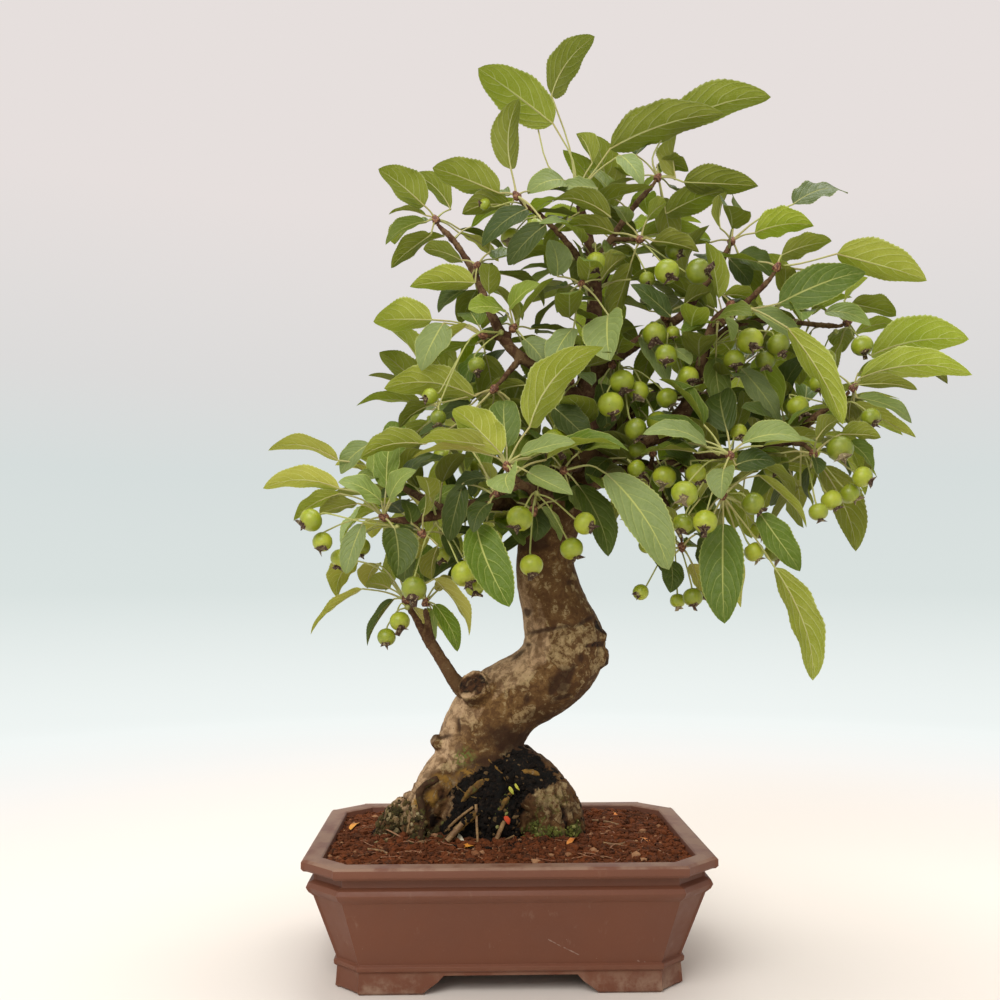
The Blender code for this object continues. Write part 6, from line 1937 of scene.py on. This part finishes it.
def make_fallen_leaves(blank, finishes):
    """Small yellow and orange leaves that lie at the trunk's foot and on the soil."""
    surface = solid_surface("wood", "soil")
    numbers = blank_numbers(blank)
    for index, (first, second, width, finish) in enumerate(FALLEN):
        rng = random.Random(index)
        base, lying = behind(surface, *first, 1.8)
        tip = behind(surface, *second, 2.4)[0]
        normal = lying + Vector((rng.uniform(-0.4, 0.4), rng.uniform(-0.4, 0.1), 0.4))
        copy = shaped_leaf(numbers, base, tip, normal, width * MM, leaf_form(rng, 1.3), 0.3 * MM)
        leaf = repeated(f"fallen_leaf_{index + 1}", blank.data, [copy], [(0.5, 0.5, 0, 1)],
                        [finishes[finish]] * 2)
        smoothed(leaf, 70)
        declared(leaf)


# Pot

def make_pot(settings):
    """The pot with softly rounded edges."""
    pot = shown("clay_pot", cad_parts["pot"].data.copy())
    only(pot)
    with editing():
        bpy.ops.mesh.remove_doubles(threshold=WELD / 2)
        bpy.ops.mesh.dissolve_limited(angle_limit=math.radians(0.6))
        bpy.ops.mesh.normals_make_consistent(inside=False)
    soften = pot.modifiers.new("soften", "BEVEL")
    soften.width = settings.edge
    soften.segments = 3
    soften.limit_method = "ANGLE"
    soften.angle_limit = math.radians(24)
    apply_modifiers(pot)
    smoothed(pot, 40)
    dressed(pot, clay_material(settings))
    declared(pot, "pot")


# Stage

def extrude_rim(dish, scale, lift):
    """Extrude the highest and widest ring of edges outward and up."""
    select_edges(dish, lambda edge: len(edge.link_faces) == 1)
    bpy.ops.mesh.extrude_region_move(TRANSFORM_OT_translate={"value": (0, 0, lift)})
    bpy.ops.transform.resize(value=(scale, scale, 1.0), center_override=(0, 0, 0))


def make_dish(settings):
    """A round pale floor that curves up into a backdrop on all sides."""
    dish = primitive(bpy.ops.mesh.primitive_circle_add, vertices=96, radius=DISH, fill_type="NGON",
                     location=(0, 0, 0))
    dish.name = "backdrop"
    with editing():
        bpy.ops.mesh.select_mode(type="EDGE")
        radius = DISH
        level = 0.0
        for step in range(1, 13):
            turn = math.radians(90) * step / 12
            wider = DISH + DISH_CURVE * math.sin(turn)
            higher = DISH_CURVE * (1 - math.cos(turn))
            extrude_rim(dish, wider / radius, higher - level)
            radius = wider
            level = higher
        extrude_rim(dish, 1.0, DISH_WALL)
        bpy.ops.mesh.select_all(action="SELECT")
        bpy.ops.mesh.normals_make_consistent(inside=True)
        bpy.ops.mesh.select_mode(type="VERT")
    smoothed(dish)
    dish.data.materials.append(stage_material(settings))


def soft_light(name, spot, target, size, power):
    """A round soft light turned to a target."""
    light = bpy.data.lights.new(name, "AREA")
    light.shape = "DISK"
    light.size = size
    light.energy = power
    holder = shown(name, light)
    holder.location = spot
    holder.rotation_euler = (Vector(target) - Vector(spot)).to_track_quat("-Z", "Y").to_euler()
    holder.visible_camera = False


def make_camera():
    """The camera that took the photo."""
    lens = bpy.data.cameras.new("photo_view")
    lens.sensor_width = 36.0
    lens.lens = LENS
    camera = shown("photo_view", lens)
    camera.location = eye_place()
    camera.rotation_euler = (math.pi / 2 + LOOK_UP, 0.0, -POT_TURN)
    bpy.context.scene.camera = camera


# Operators, one for each group of pieces

class MakeSoil(bpy.types.Operator):
    """Strew crumbs, sticks, fine roots and fallen leaves on the soil"""
    bl_idname = "bonsai.make_soil"
    bl_label = "Make soil"

    def execute(self, context):
        look = context.scene.bonsai.soil
        earth = dirt_material("damp_soil", look.earth, look.earth_dark, look.earth_pale, (146, 84, 50))
        dressed(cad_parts["soil"], earth)
        make_crumbs(look, earth)
        finishes = {name: dry_leaf_material(name, *tones) for name, tones in DRY.items()}
        make_litter(finishes["stick_bark"], finishes["fine_root_skin"])
        blank = leaf_blank("fallen_blank", 6, 4, 0.0, finishes["yellow_leaf"], finishes["yellow_leaf"])
        make_fallen_leaves(blank, finishes)
        bpy.data.objects.remove(blank)
        return {"FINISHED"}


class MakeWood(bpy.types.Operator):
    """Grow the trunk with its roots and the branches, with bark, scars and peat"""
    bl_idname = "bonsai.make_wood"
    bl_label = "Make wood"

    def execute(self, context):
        look = context.scene.bonsai.wood
        bark = bark_material(look)
        make_trunk(look, bark)
        make_small_roots(bark)
        make_branches(bark)
        return {"FINISHED"}


class MakeLeaves(bpy.types.Operator):
    """Set every leafy spray and the leaves of the inner canopy"""
    bl_idname = "bonsai.make_leaves"
    bl_label = "Make leaves"

    def execute(self, context):
        look = context.scene.bonsai.leaf
        sides = [blade_material(look, True), blade_material(look, False)]
        materials = [*sides, stalk_material("leaf_stalks", look.stalk, look.stalk_blush, 0.35),
                     bud_material(context.scene.bonsai.wood)]
        fine = leaf_blank("leaf_blank", 12, 4, look.tooth, *sides)
        plain = leaf_blank("plain_leaf_blank", 7, 2, 0.0, *sides)
        make_sprays(look, materials, fine)
        make_inner_leaves(look, materials, plain)
        bpy.data.objects.remove(fine)
        bpy.data.objects.remove(plain)
        return {"FINISHED"}


class MakeFruit(bpy.types.Operator):
    """Hang the bunches of small green fruit with their dried calyxes"""
    bl_idname = "bonsai.make_fruit"
    bl_label = "Make fruit"

    def execute(self, context):
        make_bunches(context.scene.bonsai.fruit)
        return {"FINISHED"}


class MakePot(bpy.types.Operator):
    """Model the unglazed clay pot with softened edges"""
    bl_idname = "bonsai.make_pot"
    bl_label = "Make pot"

    def execute(self, context):
        make_pot(context.scene.bonsai.pot)
        return {"FINISHED"}


class MakeStage(bpy.types.Operator):
    """Set the pale backdrop, the soft lights and the camera"""
    bl_idname = "bonsai.make_stage"
    bl_label = "Make stage"

    def execute(self, context):
        look = context.scene.bonsai.stage
        make_dish(look)
        make_camera()
        middle = (0.0, 0.0, 0.25)
        soft_light("light_above", (0.1, 0.25, 1.55), middle, 1.3, look.top_light)
        soft_light("light_in_front", (-0.5, -1.0, 1.0), middle, 0.9, look.front_light)
        world = bpy.data.worlds.new("studio")
        world.use_nodes = True
        colour, strength = world.node_tree.nodes["Background"].inputs[:2]
        colour.default_value = (0.95, 0.97, 1.0, 1.0)
        strength.default_value = 0.53
        context.scene.world = world
        context.scene.view_settings.view_transform = "Standard"
        return {"FINISHED"}


class BonsaiPanel(bpy.types.Panel):
    """Buttons that make each group of pieces"""
    bl_label = "Crabapple bonsai"
    bl_idname = "VIEW3D_PT_bonsai"
    bl_space_type = "VIEW_3D"
    bl_region_type = "UI"
    bl_category = "Bonsai"

    def draw(self, context):
        for item in OPERATORS:
            self.layout.operator(item.bl_idname)


SETTINGS = (LeafSettings, FruitSettings, WoodSettings, SoilSettings, PotSettings, StageSettings,
            BonsaiSettings)
OPERATORS = (MakePot, MakeSoil, MakeWood, MakeLeaves, MakeFruit, MakeStage)


def register():
    for item in (*SETTINGS, *OPERATORS, BonsaiPanel):
        bpy.utils.register_class(item)
    bpy.types.Scene.bonsai = PointerProperty(type=BonsaiSettings)


def unregister():
    del bpy.types.Scene.bonsai
    for item in reversed((*SETTINGS, *OPERATORS, BonsaiPanel)):
        bpy.utils.unregister_class(item)


def main():
    register()
    bpy.ops.bonsai.make_pot()
    bpy.ops.bonsai.make_soil()
    bpy.ops.bonsai.make_wood()
    bpy.ops.bonsai.make_leaves()
    bpy.ops.bonsai.make_fruit()
    bpy.ops.bonsai.make_stage()


if __name__ == "__main__":
    main()
